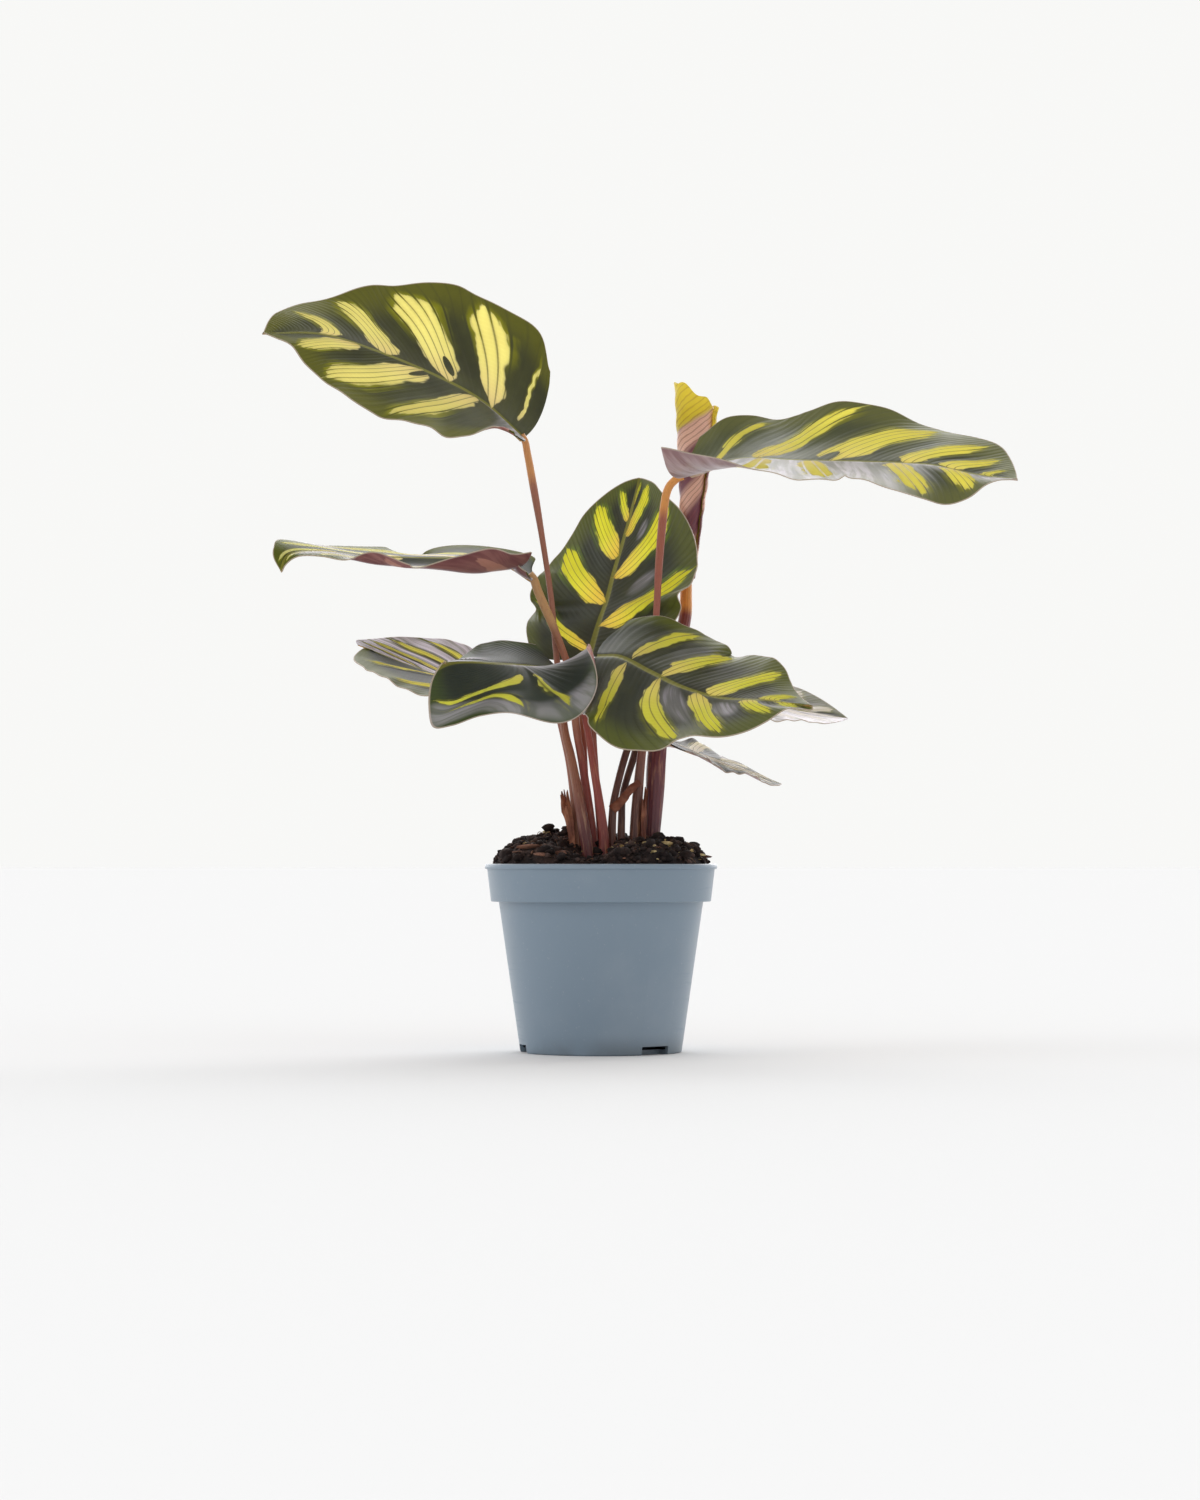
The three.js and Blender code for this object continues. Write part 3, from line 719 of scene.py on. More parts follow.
@dataclass(frozen=True)
class StalkFinish:
    """The colours of a stalk from its foot in the soil to the swollen joint at the blade."""

    foot: Colour = tint(96, 42, 44)
    sheath: Colour = tint(136, 68, 54)
    middle: Colour = tint(152, 84, 66)
    neck: Colour = tint(158, 86, 64)
    joint: Colour = tint(214, 144, 70)
    pale: Colour = tint(200, 146, 108)
    joint_from: float = 0.92

    FIBRES = 14

    def material(self, name: str) -> Material:
        """Colour a stalk along its length, with fine streaks and fibres.

        Args:
            name: The material's name.

        Returns:
            The material.
        """
        shader = Shader(name)
        around, along = shader.map("stalk")
        stops = [(0.0, self.foot), (0.2, self.foot), (0.34, self.sheath), (0.6, self.middle),
                 (self.joint_from - 0.03, self.neck), (self.joint_from, self.joint),
                 (1.0, self.joint)]
        round_about = shader.vector((around * TURN).wave() * 3, along * 5, around * 2)
        streak = shader.grain(round_about, 3.0, 4.0)
        hue = shader.ramp(along + (streak - 0.5) * 0.03, stops)
        pale = streak.ease(0.5, 0.75) * 0.5 * (1 - along.ease(0.45, 0.8))
        colour = shader.mix(pale, hue, self.pale)
        speck = shader.grain(shader.place(), 900.0, 3.0)
        colour = shader.mix(speck.ease(0.55, 0.75) * 0.25, colour, self.foot)
        fibres = (around * (self.FIBRES * TURN)).wave() * 0.4 + streak
        normal = shader.bump(fibres, 0.00012, 0.6)
        surface = shader.principled(Base_Color=colour, Roughness=0.36 + streak * 0.12,
                                    Normal=normal, Specular_IOR_Level=0.5,
                                    Subsurface_Weight=0.12, Subsurface_Scale=0.001,
                                    Subsurface_Radius=(1.0, 0.4, 0.2))
        return shader.finish(surface)


@dataclass(frozen=True)
class RolledFinish:
    """The colours of the rolled leaf: slanting bands under a yellow mouth."""

    mouth: Colour = tint(222, 204, 44)
    mouth_line: Colour = tint(150, 104, 34)
    peach: Colour = tint(232, 184, 162)
    maroon: Colour = tint(112, 58, 78)
    line: Colour = tint(140, 80, 80)
    inside: Colour = tint(208, 190, 64)
    through: Colour = tint(252, 240, 150)
    slant: float = 0.42

    BANDS = "mpmmppmmppmp"
    PLACES = (0.0, 0.08, 0.2, 0.34, 0.4, 0.47, 0.52, 0.66, 0.7, 0.78, 0.86, 1.0)
    SEAM = 0.82
    VEIN = 1 / 30

    def material(self, name: str, face: Face) -> Material:
        """Colour one face of the roll.

        Args:
            name: The material's name.
            face: The outside of the roll is the leaf's under face.

        Returns:
            The material.
        """
        shader = Shader(name)
        wound, rise = shader.map("roll")
        place = shader.place()
        sway = shader.grain(place, 90.0, 3.0) - 0.5
        band = rise - (wound - self.SEAM) * self.slant + sway * 0.05
        veins = (band + sway * 0.03).lines(self.VEIN, 0.2)
        fine = (band * 3 + wound * 2).lines(self.VEIN, 0.3)
        hues = {"m": self.maroon, "p": self.peach}
        bands = shader.ramp(band, [(at, hues[key]) for at, key in zip(self.PLACES, self.BANDS)])
        lined = shader.mix(veins * 0.7, bands, self.line)
        lined = shader.mix(fine * 0.15, lined, self.maroon)
        yellow = shader.mix(veins * 0.8, self.mouth, self.mouth_line)
        top = (rise - (wound - self.SEAM) * 0.3 + sway * 0.08).ease(0.79, 0.83)
        colour = shader.mix(top, lined, yellow)
        if face is Face.UPPER:
            colour = shader.mix(0.7, colour, self.inside)
        normal = shader.bump(veins * -0.5 + sway, 0.0001, 0.6)
        surface = shader.principled(Base_Color=colour, Roughness=0.42 + sway * 0.2, Normal=normal,
                                    Specular_IOR_Level=0.5)
        through = shader.clear(self.through, normal)
        return shader.finish(shader.blend(0.16 + 0.34 * top, surface, through))


@dataclass(frozen=True)
class PotFinish:
    """Blue-grey moulded plastic, a little dusty and scuffed."""

    body: Colour = tint(124, 141, 156)
    dust: Colour = tint(152, 162, 172)
    # A darker grey mixed in towards the foot.
    foot_dark: Colour = tint(84, 90, 92)

    FOOT_DARK_TOP = 0.006

    def material(self) -> Material:
        """Dust the plastic, scuff it level all round and darken it towards its foot.

        Returns:
            The pot's material.
        """
        shader = Shader("pot_plastic_grey")
        place = shader.place()
        cloud = shader.grain(place, 35.0, 4.0)
        speck = shader.grain(place, 1400.0, 2.0)
        x, y, height = shader.split(place)
        scuff = shader.grain(shader.vector(x * 60, y * 60, height * 900), 1.0, 3.0)
        colour = shader.mix(cloud.ease(0.45, 0.7) * 0.25, self.body, self.dust)
        colour = shader.mix(speck.ease(0.66, 0.74) * 0.35, colour, self.dust)
        # Darker and greyer towards the foot, mottled.
        low = 1 - height.ease(0.0, self.FOOT_DARK_TOP)
        colour = shader.mix(low * cloud.ease(0.4, 0.6) * 0.5, colour, self.foot_dark)
        roughness = 0.32 + (cloud - 0.5) * 0.14 + scuff.ease(0.55, 0.7) * 0.08
        normal = shader.bump(speck * 0.4 + scuff * 0.3, 0.00003, 0.5)
        surface = shader.principled(Base_Color=colour, Roughness=roughness, Normal=normal,
                                    Specular_IOR_Level=0.45)
        return shader.finish(surface)


@dataclass(frozen=True)
class EarthFinish:
    """One of the stuffs in the soil: two colours, mottled, and how coarse it is."""

    name: str
    dark: Colour
    light: Colour
    scale: float = 700.0
    roughness: float = 0.95

    def material(self) -> Material:
        """Mottle the two colours and roughen the surface.

        Returns:
            The material.
        """
        shader = Shader(self.name)
        place = shader.place()
        coarse = shader.grain(place, self.scale * 0.3, 3.0)
        fine = shader.grain(place, self.scale * 2.5, 4.0)
        colour = shader.mix(coarse.ease(0.35, 0.7), self.dark, self.light)
        colour = shader.mix(fine.ease(0.45, 0.7) * 0.5, colour, self.dark)
        normal = shader.bump(fine + coarse, 0.0003, 0.8)
        surface = shader.principled(Base_Color=colour, Roughness=self.roughness - fine * 0.15,
                                    Normal=normal, Specular_IOR_Level=0.25)
        return shader.finish(surface)


PEAT = EarthFinish("peat_dark", tint(24, 18, 18), tint(58, 44, 40))
CLOD = EarthFinish("peat_clods", tint(30, 23, 23), tint(84, 66, 60))
BARK = EarthFinish("bark_chips_brown", tint(70, 44, 36), tint(150, 110, 90), 500.0)
MOSS = EarthFinish("moss_straw", tint(150, 128, 84), tint(220, 204, 156), 900.0)
FIBRE = EarthFinish("root_hairs_brown", tint(92, 66, 52), tint(160, 124, 96), 900.0)
SCALE = EarthFinish("dry_scale_brown", tint(104, 58, 44), tint(178, 120, 90), 420.0, 0.7)


def build_object(name: str, points: Array, faces: Sequence,
                 materials: Sequence[Material], maps: Optional[dict] = None,
                 dress: Optional[Sequence[int]] = None, crease: float = 50.0) -> bpy.types.Object:
    """Make an object from points and faces.

    Args:
        name: The object's name.
        points: Its corners, in metres.
        faces: Corner numbers of each face.
        materials: Its materials.
        maps: Surface maps: a name and two numbers for each corner.
        dress: The number of the material on each face.
        crease: Edges sharper than this many degrees stay crisp.

    Returns:
        The object, linked to the scene.
    """
    mesh = bpy.data.meshes.new(name)
    points = np.asarray(points).reshape(-1, 3)
    mesh.from_pydata(points.tolist(), [], [list(map(int, face)) for face in faces])
    corners = np.zeros(len(mesh.loops), np.int32)
    mesh.loops.foreach_get("vertex_index", corners)
    for title, values in (maps or {}).items():
        layer = mesh.uv_layers.new(name=title)
        values = np.asarray(values, np.float32).reshape(-1, 2)
        layer.data.foreach_set("uv", values[corners].ravel())
    for material in materials:
        mesh.materials.append(material)
    if dress is not None:
        mesh.polygons.foreach_set("material_index", np.asarray(dress, np.int32))
    tidy = bmesh.new()
    tidy.from_mesh(mesh)
    bmesh.ops.remove_doubles(tidy, verts=tidy.verts, dist=SAME_PLACE)
    bmesh.ops.dissolve_degenerate(tidy, edges=tidy.edges, dist=NO_LENGTH)
    tidy.to_mesh(mesh)
    tidy.free()
    mesh.shade_smooth()
    mesh.set_sharp_from_angle(angle=math.radians(crease))
    built = bpy.data.objects.new(name, mesh)
    bpy.context.scene.collection.objects.link(built)
    return built


def numbered(points: Array) -> Array:
    """Number the corners of a grid of points, row by row."""
    rows, columns = points.shape[:2]
    return np.arange(rows * columns).reshape(rows, columns)


def grid_faces(grid: Array, flipped: bool = False) -> Array:
    """Join the neighbours in a grid of corner numbers.

    Args:
        grid: The numbers, in rows.
        flipped: Whether the faces look the other way.

    Returns:
        Four corner numbers for each face.
    """
    corners = [grid[:-1, :-1], grid[:-1, 1:], grid[1:, 1:], grid[1:, :-1]]
    if flipped:
        corners[1:] = corners[:0:-1]
    return np.stack(corners, -1).reshape(-1, 4)


def build_sheet(name: str, upper: Array, lower: Array, materials: Sequence[Material],
                maps: Optional[dict] = None) -> bpy.types.Object:
    """Make a thin closed sheet between two grids of points.

    Args:
        name: The object's name.
        upper: The points of one face.
        lower: The points of the other face, in the same order.
        materials: One material for all, or one for each face; the rim wears the first.
        maps: Surface maps: a name and a grid of two numbers, the same on both faces.

    Returns:
        The object, linked to the scene.
    """
    top = numbered(upper)
    low = top + top.size
    faces = [grid_faces(top), grid_faces(low, True)]
    for pair in ((low[:, 0], top[:, 0]), (top[:, -1], low[:, -1]), (top[0], low[0])):
        faces.append(grid_faces(np.stack(pair, 1)))
    faces.append(grid_faces(np.stack([top[-1], low[-1]], 1), True))
    dress = np.zeros(sum(map(len, faces)), int)
    dress[len(faces[0]):2 * len(faces[0])] = len(materials) - 1
    both = {title: np.stack([values, values]) for title, values in (maps or {}).items()}
    return build_object(name, np.stack([upper, lower]), np.concatenate(faces), materials, both,
                        dress)


def place_piece(piece: bpy.types.Object, slot: str, *nodes: str) -> None:
    """Set a piece on the plant's body.

    Args:
        piece: The piece.
        slot: Not used.
        nodes: The CAD nodes that it stands for.
    """
    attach(piece, BODY)
    if nodes:
        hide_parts(*nodes)
    LOG.info("%s: %d faces, stands for %s", piece.name, len(piece.data.polygons), nodes or "none")


@dataclass
class Leaf:
    """One open leaf: its blade and its stalk.

    The midrib runs from the stalk to the tip; turn is how far the blade is turned about it.
    Rows and columns are the steps along the midrib and out to a margin. Ripple is the height
    and count of the margin's small waves, and quilt the swelling between the side veins.
    OUTLINE is where on the midrib, and how far out, the side veins end on the margin. They
    lean towards the tip by SWEEP and arch out by ARCH, and the lobe beside the stalk ends at
    LOBE_END. CROWDING packs rows towards the tip and columns towards the midrib.
    """

    name: str
    midrib: Sequence[tuple[float, float, float]]
    turn: tuple[float, ...]
    right: Half
    left: Half
    stalk: Sequence[tuple[float, float, float]]
    girth: tuple[float, ...]
    finish: LeafFinish = field(default_factory=LeafFinish)
    stalk_finish: StalkFinish = field(default_factory=StalkFinish)
    rows: int = 150
    columns: int = 30
    thickness: float = 0.4
    rib: float = 1.0
    ripple: tuple[float, float] = (0.3, 9.0)
    quilt: float = 0.8

    OUTLINE = ((0.02, 0.76), (0.19, 0.96), (0.38, 1.0), (0.57, 0.9), (0.75, 0.66), (0.89, 0.34),
               (1.0, 0.0))
    CROWDING = (0.72, 1.25)
    TIP = 0.985
    LOBE_END = 0.35
    SWEEP = 0.3
    ARCH = 0.55
    RIDGE = 0.8
    STRAIGHT = 2e-4

    def build(self) -> None:
        """Build and place the blade and the stalk."""
        self.spine = Spline(self.midrib)
        self._blade()
        Stalk(f"petiole_{self.name}", self.stalk, self.girth, self.stalk_finish).build(
            "stalk_brown", f"stalk_{self.name}")

    def _frame(self, along: Array) -> tuple[Array, Array, Array]:
        """Find how the blade lies at the midrib.

        Args:
            along: Distances along the midrib, which may run past its ends.

        Returns:
            The midrib's point, the upper normal and the way to the right at each distance.
        """
        share = np.clip(along / self.spine.length, 0, 1)
        heading = self.spine.heading(share)
        point = self.spine.at(share) + heading * (along - share * self.spine.length)[..., None]
        upper = unit(UP - heading * heading[..., 2:3])
        turn = np.radians(smooth_blend(self.turn, share))[..., None]
        normal = upper * np.cos(turn) + np.cross(heading, upper) * np.sin(turn)
        return point, normal, np.cross(heading, normal)

    def _flat(self, half: Half, start: Array, reach: Array) -> tuple[Array, Array, Array]:
        """Find where side veins run when the leaf is pressed flat.

        Args:
            half: The half of the blade.
            start: The share of the midrib where each vein starts.
            reach: The share of the vein, from the midrib to the margin.

        Returns:
            Distances along the midrib and away from it, and what is left to the margin.
        """
        length = self.spine.length
        end = smooth_blend(self.OUTLINE, 1 - (1 - start) ** 2)
        finish = np.stack([end[..., 0] * length, end[..., 1] * half.width * MM], -1)
        foot = np.stack([start * length, 0 * start], -1)
        back = half.lobe * np.maximum(0, 1 - start / self.LOBE_END) ** 2 * length
        turning = foot[..., 0] * (1 - self.SWEEP) + finish[..., 0] * self.SWEEP - back
        bend = np.stack([turning, finish[..., 1] * self.ARCH], -1)
        v = reach[..., None]
        place = (1 - v) ** 2 * foot + 2 * v * (1 - v) * bend + v**2 * finish
        left = np.linalg.norm(finish - place, axis=-1)
        return place[..., 0], place[..., 1], left

    def _bent(self, half: Half, side: int, start: Array, reach: Array) -> tuple[Array, Array]:
        """Fold, curl, wave and pull a half into its place.

        Args:
            half: The half of the blade.
            side: 1 for the right half and -1 for the left.
            start: The share of the midrib where each vein starts.
            reach: The share of the vein, from the midrib to the margin.

        Returns:
            The points, and for each the distances to the midrib and margin in millimetres.
        """
        along, across, left = self._flat(half, start, reach)
        point, normal, right = self._frame(along)
        share = np.clip(along / self.spine.length, 0, 1)
        fold = np.radians(smooth_blend(half.fold, share))
        curl = np.radians(smooth_blend(half.curl, share))
        curl = np.where(np.abs(curl) < self.STRAIGHT, self.STRAIGHT, curl)
        width = half.width * MM
        out = across / width
        slope = fold + curl * out
        height, count, first = half.wave
        wave = height * MM * out**2 * np.sin(TURN * (count * share + first))
        fine, often = self.ripple
        wave += fine * MM * out**4 * np.sin(TURN * (often * share + 3.7 * first + side))
        aside = width / curl * (np.sin(slope) - np.sin(fold)) - wave * np.sin(slope)
        lift = -width / curl * (np.cos(slope) - np.cos(fold)) + wave * np.cos(slope)
        bent = point + right * (side * aside)[..., None] + normal * lift[..., None]
        pulled = smooth_blend(half.pull, start) * MM * (reach**2)[..., None]
        bent = bent + pulled[..., :1] * np.array([1.0, 0, 0]) + pulled[..., 1:] * UP
        return bent, np.stack([across, left], -1) / MM

    def _blade(self) -> None:
        """Build the blade as a thin closed sheet with a map of its veins."""
        row_crowding, column_crowding = self.CROWDING
        starts = 1 - (1 - np.linspace(0, 1, self.rows + 1)) ** row_crowding
        reaches = np.linspace(0, 1, self.columns + 1) ** column_crowding
        start, reach = np.meshgrid(starts, reaches, indexing="ij")
        halves = [self._bent(self.left, -1, start, reach), self._bent(self.right, 1, start, reach)]
        points, reach_map = (np.concatenate([left[:, :0:-1], right], 1)
                             for left, right in zip(*halves))
        side = np.concatenate([-reach[:, :0:-1], reach], 1)
        start = np.concatenate([start[:, :0:-1], start], 1)
        normal = unit(np.cross(np.gradient(points, axis=1), np.gradient(points, axis=0)))
        steady = self._frame(start * self.spine.length)[1]
        normal = np.where((start > self.TIP)[..., None], steady, normal)
        ridge = np.exp(-((reach_map[..., 0] / self.RIDGE) ** 2)) * (1 - start)
        rightward = side > 0
        lean = np.where(rightward, *(smooth_blend(half.lean, start)
                                     for half in (self.right, self.left)))
        source = start - lean * np.abs(side)
        light = np.where(rightward, *(np.interp(source, *zip(*half.stops()))
                                      for half in (self.right, self.left)))
        quilt = self.quilt * (light - 0.4) * np.sin(math.pi * np.abs(side)) ** 1.5
        quilt = quilt * (1 - start**3)
        relief = (quilt - 0.3 * ridge) * MM
        edge = ease(np.abs(side), 0.85, 1.0)
        depth = (self.thickness * (1 - 0.35 * edge) + self.rib * ridge - quilt) * MM
        skins = [LeafFace(self.name, face, self.finish, self.right, self.left).material()
                 for face in Face]
        blade = build_sheet(f"leaf_{self.name}", points + normal * relief[..., None],
                            points - normal * depth[..., None], skins,
                            {"vein": np.stack([source, side], -1), "reach": reach_map})
        place_piece(blade, "leaf_green", f"blade_{self.name}")


@dataclass
class Stalk:
    """A round stalk along a smooth curve, with its girth given along it."""

    name: str
    path: Sequence[tuple[float, float, float]]
    girth: tuple[float, ...]
    finish: StalkFinish
    rings: int = 150
    sides: int = 24

    RIDGED = 0.03

    def build(self, slot: str, node: str) -> None:
        """Build and place the stalk.

        Args:
            slot: Passed on to place_piece, which does not use it.
            node: The CAD node that it stands for.
        """
        curve = Spline(self.path)
        shares = np.linspace(0, 1, self.rings + 1)
        heading = curve.heading(shares)
        aside = self._steady(heading)
        angle = np.linspace(0, TURN, self.sides + 1)
        radius = smooth_blend(self.girth, shares) * MM
        ridged = 1 + self.RIDGED * np.sin(3 * angle) * (1 - ease(shares, 0.5, 0.9))[:, None]
        out = aside[:, None] * np.cos(angle)[None, :, None]
        out = out + np.cross(heading, aside)[:, None] * np.sin(angle)[None, :, None]
        points = curve.at(shares)[:, None] + out * (radius[:, None] * ridged)[..., None]
        grid = numbered(points)
        faces = [*grid_faces(grid), grid[0, :-1][::-1], grid[-1, :-1]]
        around = np.stack(np.meshgrid(shares, angle / TURN, indexing="ij")[::-1], -1)
        stalk = build_object(self.name, points, faces, [self.finish.material(f"{self.name}_skin")],
                             {"stalk": around}, crease=60)
        place_piece(stalk, slot, node)

    @staticmethod
    def _steady(heading: Array) -> Array:
        """Find directions square to the headings that turn as little as they can.

        Args:
            heading: The directions of a stalk along it.

        Returns:
            One direction for each heading.
        """
        aside = np.zeros_like(heading)
        current = unit(np.cross(heading[0], np.array([0.0, 1.0, 0.0])))
        for index, direction in enumerate(heading):
            current = unit(current - direction * np.dot(current, direction))
            aside[index] = current
        return aside


@dataclass
class RolledLeaf:
    """The new leaf, a scroll that widens upwards round its own axis.

    It is wound inwards by its pitch a turn, from the start angle. Its mouth drops to one side
    by a share of its height, and a flap of its outer edge stands off. Tears are the height and
    count of the mouth's waves, and crimp the height, count and slant of the side veins.
    """

    axis: Sequence[tuple[float, float, float]]
    radius: tuple[float, ...]
    pitch: float
    turns: float
    start: float
    drop: float
    flap: float
    stalk: Sequence[tuple[float, float, float]]
    girth: tuple[float, ...]
    stalk_finish: StalkFinish
    finish: RolledFinish = field(default_factory=RolledFinish)
    rows: int = 90
    columns: int = 170
    thickness: float = 0.4
    tears: tuple[float, float] = (0.012, 5.0)
    crimp: tuple[float, float, float] = (0.12, 60.0, 0.42)

    FLAP_END = 0.1

    def build(self) -> None:
        """Build and place the scroll and its stalk."""
        spine = Spline(self.axis)
        wound = np.linspace(0, self.turns, self.columns + 1)[None, :]
        level = np.linspace(0, 1, self.rows + 1)[:, None]
        angle = np.radians(self.start + 360 * wound)
        lowered = 1 - self.drop * (1 + np.cos(angle)) / 2
        height, count = self.tears
        lowered = lowered + height * np.sin(count * angle) * level
        share = level * lowered
        flap = self.flap * share**8 * np.maximum(0, 1 - wound / self.FLAP_END)
        height, count, slant = self.crimp
        crimp = height * np.sin(count * (share - slant * wound)) * ease(share, 0.1, 0.4)
        reach = smooth_blend(self.radius, share) - self.pitch * wound + flap + crimp
        layers = [spine.around(share, angle, reach - depth) for depth in (0, self.thickness)]
        skins = [self.finish.material("rolled_leaf_outside", Face.UNDER),
                 self.finish.material("rolled_leaf_inside", Face.UPPER)]
        roll = np.stack([wound + 0 * share, share], -1)
        place_piece(build_sheet("leaf_rolled", *layers, skins, {"roll": roll}), "new_leaf",
                    "blade_rolled")
        Stalk("petiole_rolled", self.stalk, self.girth, self.stalk_finish).build(
            "sheath_maroon", "stalk_rolled")


@dataclass
class Scale:
    """A dry papery scale: part of a sleeve round a stalk, with a torn upper edge.

    It spans angles round the stalk, from its foot to its head as shares of the stalk's length,
    and flares away from the stalk at its head. TEETH and FRAYS tear its upper edge and CREASES
    crinkle it: each is the height of a wave and how fast it runs across and up.
    """

    name: str
    leaf: str
    span: tuple[float, float]
    foot: float
    head: float
    flare: float
    thickness: float = 0.3
    gap: float = 0.3
    cad_thickness: float = 0.65
    rows: int = 30
    columns: int = 24

    TEETH = (0.25, 10.5, 0.0)
    FRAYS = (0.05, 47.0, 0.0)
    CREASES = ((0.10, 21.0, 3.0), (0.08, 4.0, 17.0))

    def build(self, leaf: Leaf) -> None:
        """Build and place the scale.

        Args:
            leaf: The leaf whose stalk it wraps.
        """
        spine = Spline(leaf.stalk)
        across = np.linspace(0, 1, self.columns + 1)[None, :]
        level = np.linspace(0, 1, self.rows + 1)[:, None]
        angle = np.radians(self.span[0] + (self.span[1] - self.span[0]) * across)
        torn = 1 - np.abs(waves(across, level, self.TEETH)) - waves(across, level, self.FRAYS)
        share = self.foot + (self.head - self.foot) * level * torn
        crinkle = waves(across, level, *self.CREASES)
        base = smooth_blend(leaf.girth, share) + self.gap + self.cad_thickness
        reach = base + self.flare * level**4 + crinkle * ease(level, 0.1, 0.5)
        layers = [spine.around(share, angle, reach - depth) for depth in (0, self.thickness)]
        place_piece(build_sheet(f"dry_{self.name}", *layers, [SCALE.material()]), "dry_scale",
                    self.name)


@dataclass
class Bridge:
    """A torn dry strip between two stalks.

    It narrows by a share of its width on the way. FRAYS tear its edges and BOWS bend it across:
    each is the height of a wave and how fast it runs along and up.
    """

    path: Sequence[tuple[float, float, float]]
    width: float
    narrowing: float = 0.3
    thickness: float = 0.35
    rows: int = 14
    columns: int = 40

    FRAYS = ((0.05, 19.0, 0.0), (0.03, 43.0, 0.0))
    BOWS = ((0.4, 0.0, math.pi), (0.12, 23.0, 5.0))

    def build(self) -> None:
        """Build and place the strip."""
        spine = Spline(self.path)
        share = np.linspace(0, 1, self.columns + 1)
        heading = spine.heading(share)
        out = unit(np.cross(heading, UP))
        rise = np.cross(out, heading)
        level = np.linspace(0, 1, self.rows + 1)[:, None]
        taper = 1 - self.narrowing * share + waves(share, 0 * share, *self.FRAYS)
        height = self.width * (level - 0.5) * taper[None, :]
        bow = waves(share[None, :], level, *self.BOWS)
        layers = []
        for depth in (0.0, self.thickness):
            offset = out[None] * ((bow - depth) * MM)[..., None]
            layers.append(spine.at(share)[None] + rise[None] * (height * MM)[..., None] + offset)
        place_piece(build_sheet("dry_scale_bridge", *layers, [SCALE.material()]), "dry_scale",
                    "scale_bridge")


@dataclass
class Pot:
    """The round nursery pot: a lip, a collar band and a tapering body notched at its foot."""

    height: float = 48.5
    lip_radius: float = 30.0
    lip_height: float = 1.3
    band_top: float = 29.4
    band_foot: float = 28.4
    band_level: float = 38.8
    body_top: float = 26.4
    foot: float = 20.8
    bevel: float = 0.5
    wall: float = 1.0
    floor: float = 1.2
    notch_angles: tuple[float, ...] = (-48.0, 72.0, 192.0)
    notch_width: float = 9.0
    notch_height: float = 2.2
    notch_depth: float = 3.5
    sides: int = 200
    finish: PotFinish = field(default_factory=PotFinish)

    CREASE = 40

    def inside(self, level: float) -> float:
        """Return the radius of the body's inside at a level."""
        return self.foot + (self.body_top - self.foot) * level / self.band_level - self.wall

    def _profile(self) -> list[tuple[float, float, float]]:
        """List the corners of the wall's section, outside upwards and then inside down.

        Returns:
            For each corner its radius, its level and the size of its rounding.
        """
        lip_foot = self.height - self.lip_height
        ledge = self.band_level + self.wall
        return [
            (self.foot, 0.0, self.bevel),
            (self.body_top, self.band_level, 0.25),
            (self.band_foot, self.band_level, 0.3),
            (self.band_top, lip_foot, 0.25),
            (self.lip_radius, lip_foot, 0.3),
            (self.lip_radius, self.height, 0.45),
            (self.band_top - self.wall, self.height, 0.3),
            (self.band_foot - self.wall, ledge, 0.3),
            (self.inside(self.band_level), ledge, 0.3),
            (self.inside(self.floor), self.floor, 0.3),
        ]

    def _rounded(self) -> Array:
        """Round the corners of the wall's section.

        Returns:
            Radii and levels in metres, from the axis round to the axis.
        """
        corners = np.array([(radius, level) for radius, level, _ in self._profile()])
        route = np.concatenate([[[0, 0]], corners, [[0, self.floor]]])
        points = [route[0]]
        steps = np.linspace(0, 1, 5)[:, None]
        for index, (_, _, rounding) in enumerate(self._profile(), 1):
            corner = route[index]
            before = corner + unit(route[index - 1] - corner) * rounding
            after = corner + unit(route[index + 1] - corner) * rounding
            arc = (1 - steps) ** 2 * before + 2 * steps * (1 - steps) * corner + steps**2 * after
            points.extend(arc)
        points.append(route[-1])
        return np.array(points) * MM

    def build(self) -> None:
        """Build and place the pot, with its notches cut through the foot."""
        section = self._rounded()
        angle = np.linspace(0, TURN, self.sides + 1)
        around = np.stack([np.cos(angle), np.sin(angle), 1 + 0 * angle], -1)
        points = section[:, None, [0, 0, 1]] * around
        pot = build_object("nursery_pot", points, grid_faces(numbered(points)),
                           [self.finish.material()], crease=self.CREASE)
        for degrees in self.notch_angles:
            self._cut(pot, math.radians(degrees))
        pot.data.shade_smooth()
        pot.data.set_sharp_from_angle(angle=math.radians(self.CREASE))
        place_piece(pot, "pot_plastic", "pot")

    def _cut(self, pot: bpy.types.Object, angle: float) -> None:
        """Cut one notch through the foot of the wall.

        Args:
            pot: The pot.
            angle: Where the notch lies round it, in radians.
        """
        tool = bmesh.new()
        bmesh.ops.create_cube(tool, size=1.0)
        size = Vector((2 * self.notch_depth, self.notch_width, 2 * self.notch_height)) * MM
        bmesh.ops.scale(tool, vec=size, verts=tool.verts)
        mesh = bpy.data.meshes.new("notch")
        tool.to_mesh(mesh)
        tool.free()
        cutter = bpy.data.objects.new("notch", mesh)
        bpy.context.scene.collection.objects.link(cutter)
        cutter.location = (self.foot * MM * math.cos(angle), self.foot * MM * math.sin(angle), 0)
        cutter.rotation_euler = (0, 0, angle)
        cut = pot.modifiers.new("notch", "BOOLEAN")
        cut.operation = "DIFFERENCE"
        cut.solver = "EXACT"
        cut.object = cutter
        graph = bpy.context.evaluated_depsgraph_get()
        result = bpy.data.meshes.new_from_object(pot.evaluated_get(graph))
        pot.modifiers.clear()
        pot.data = result
        bpy.data.objects.remove(cutter)


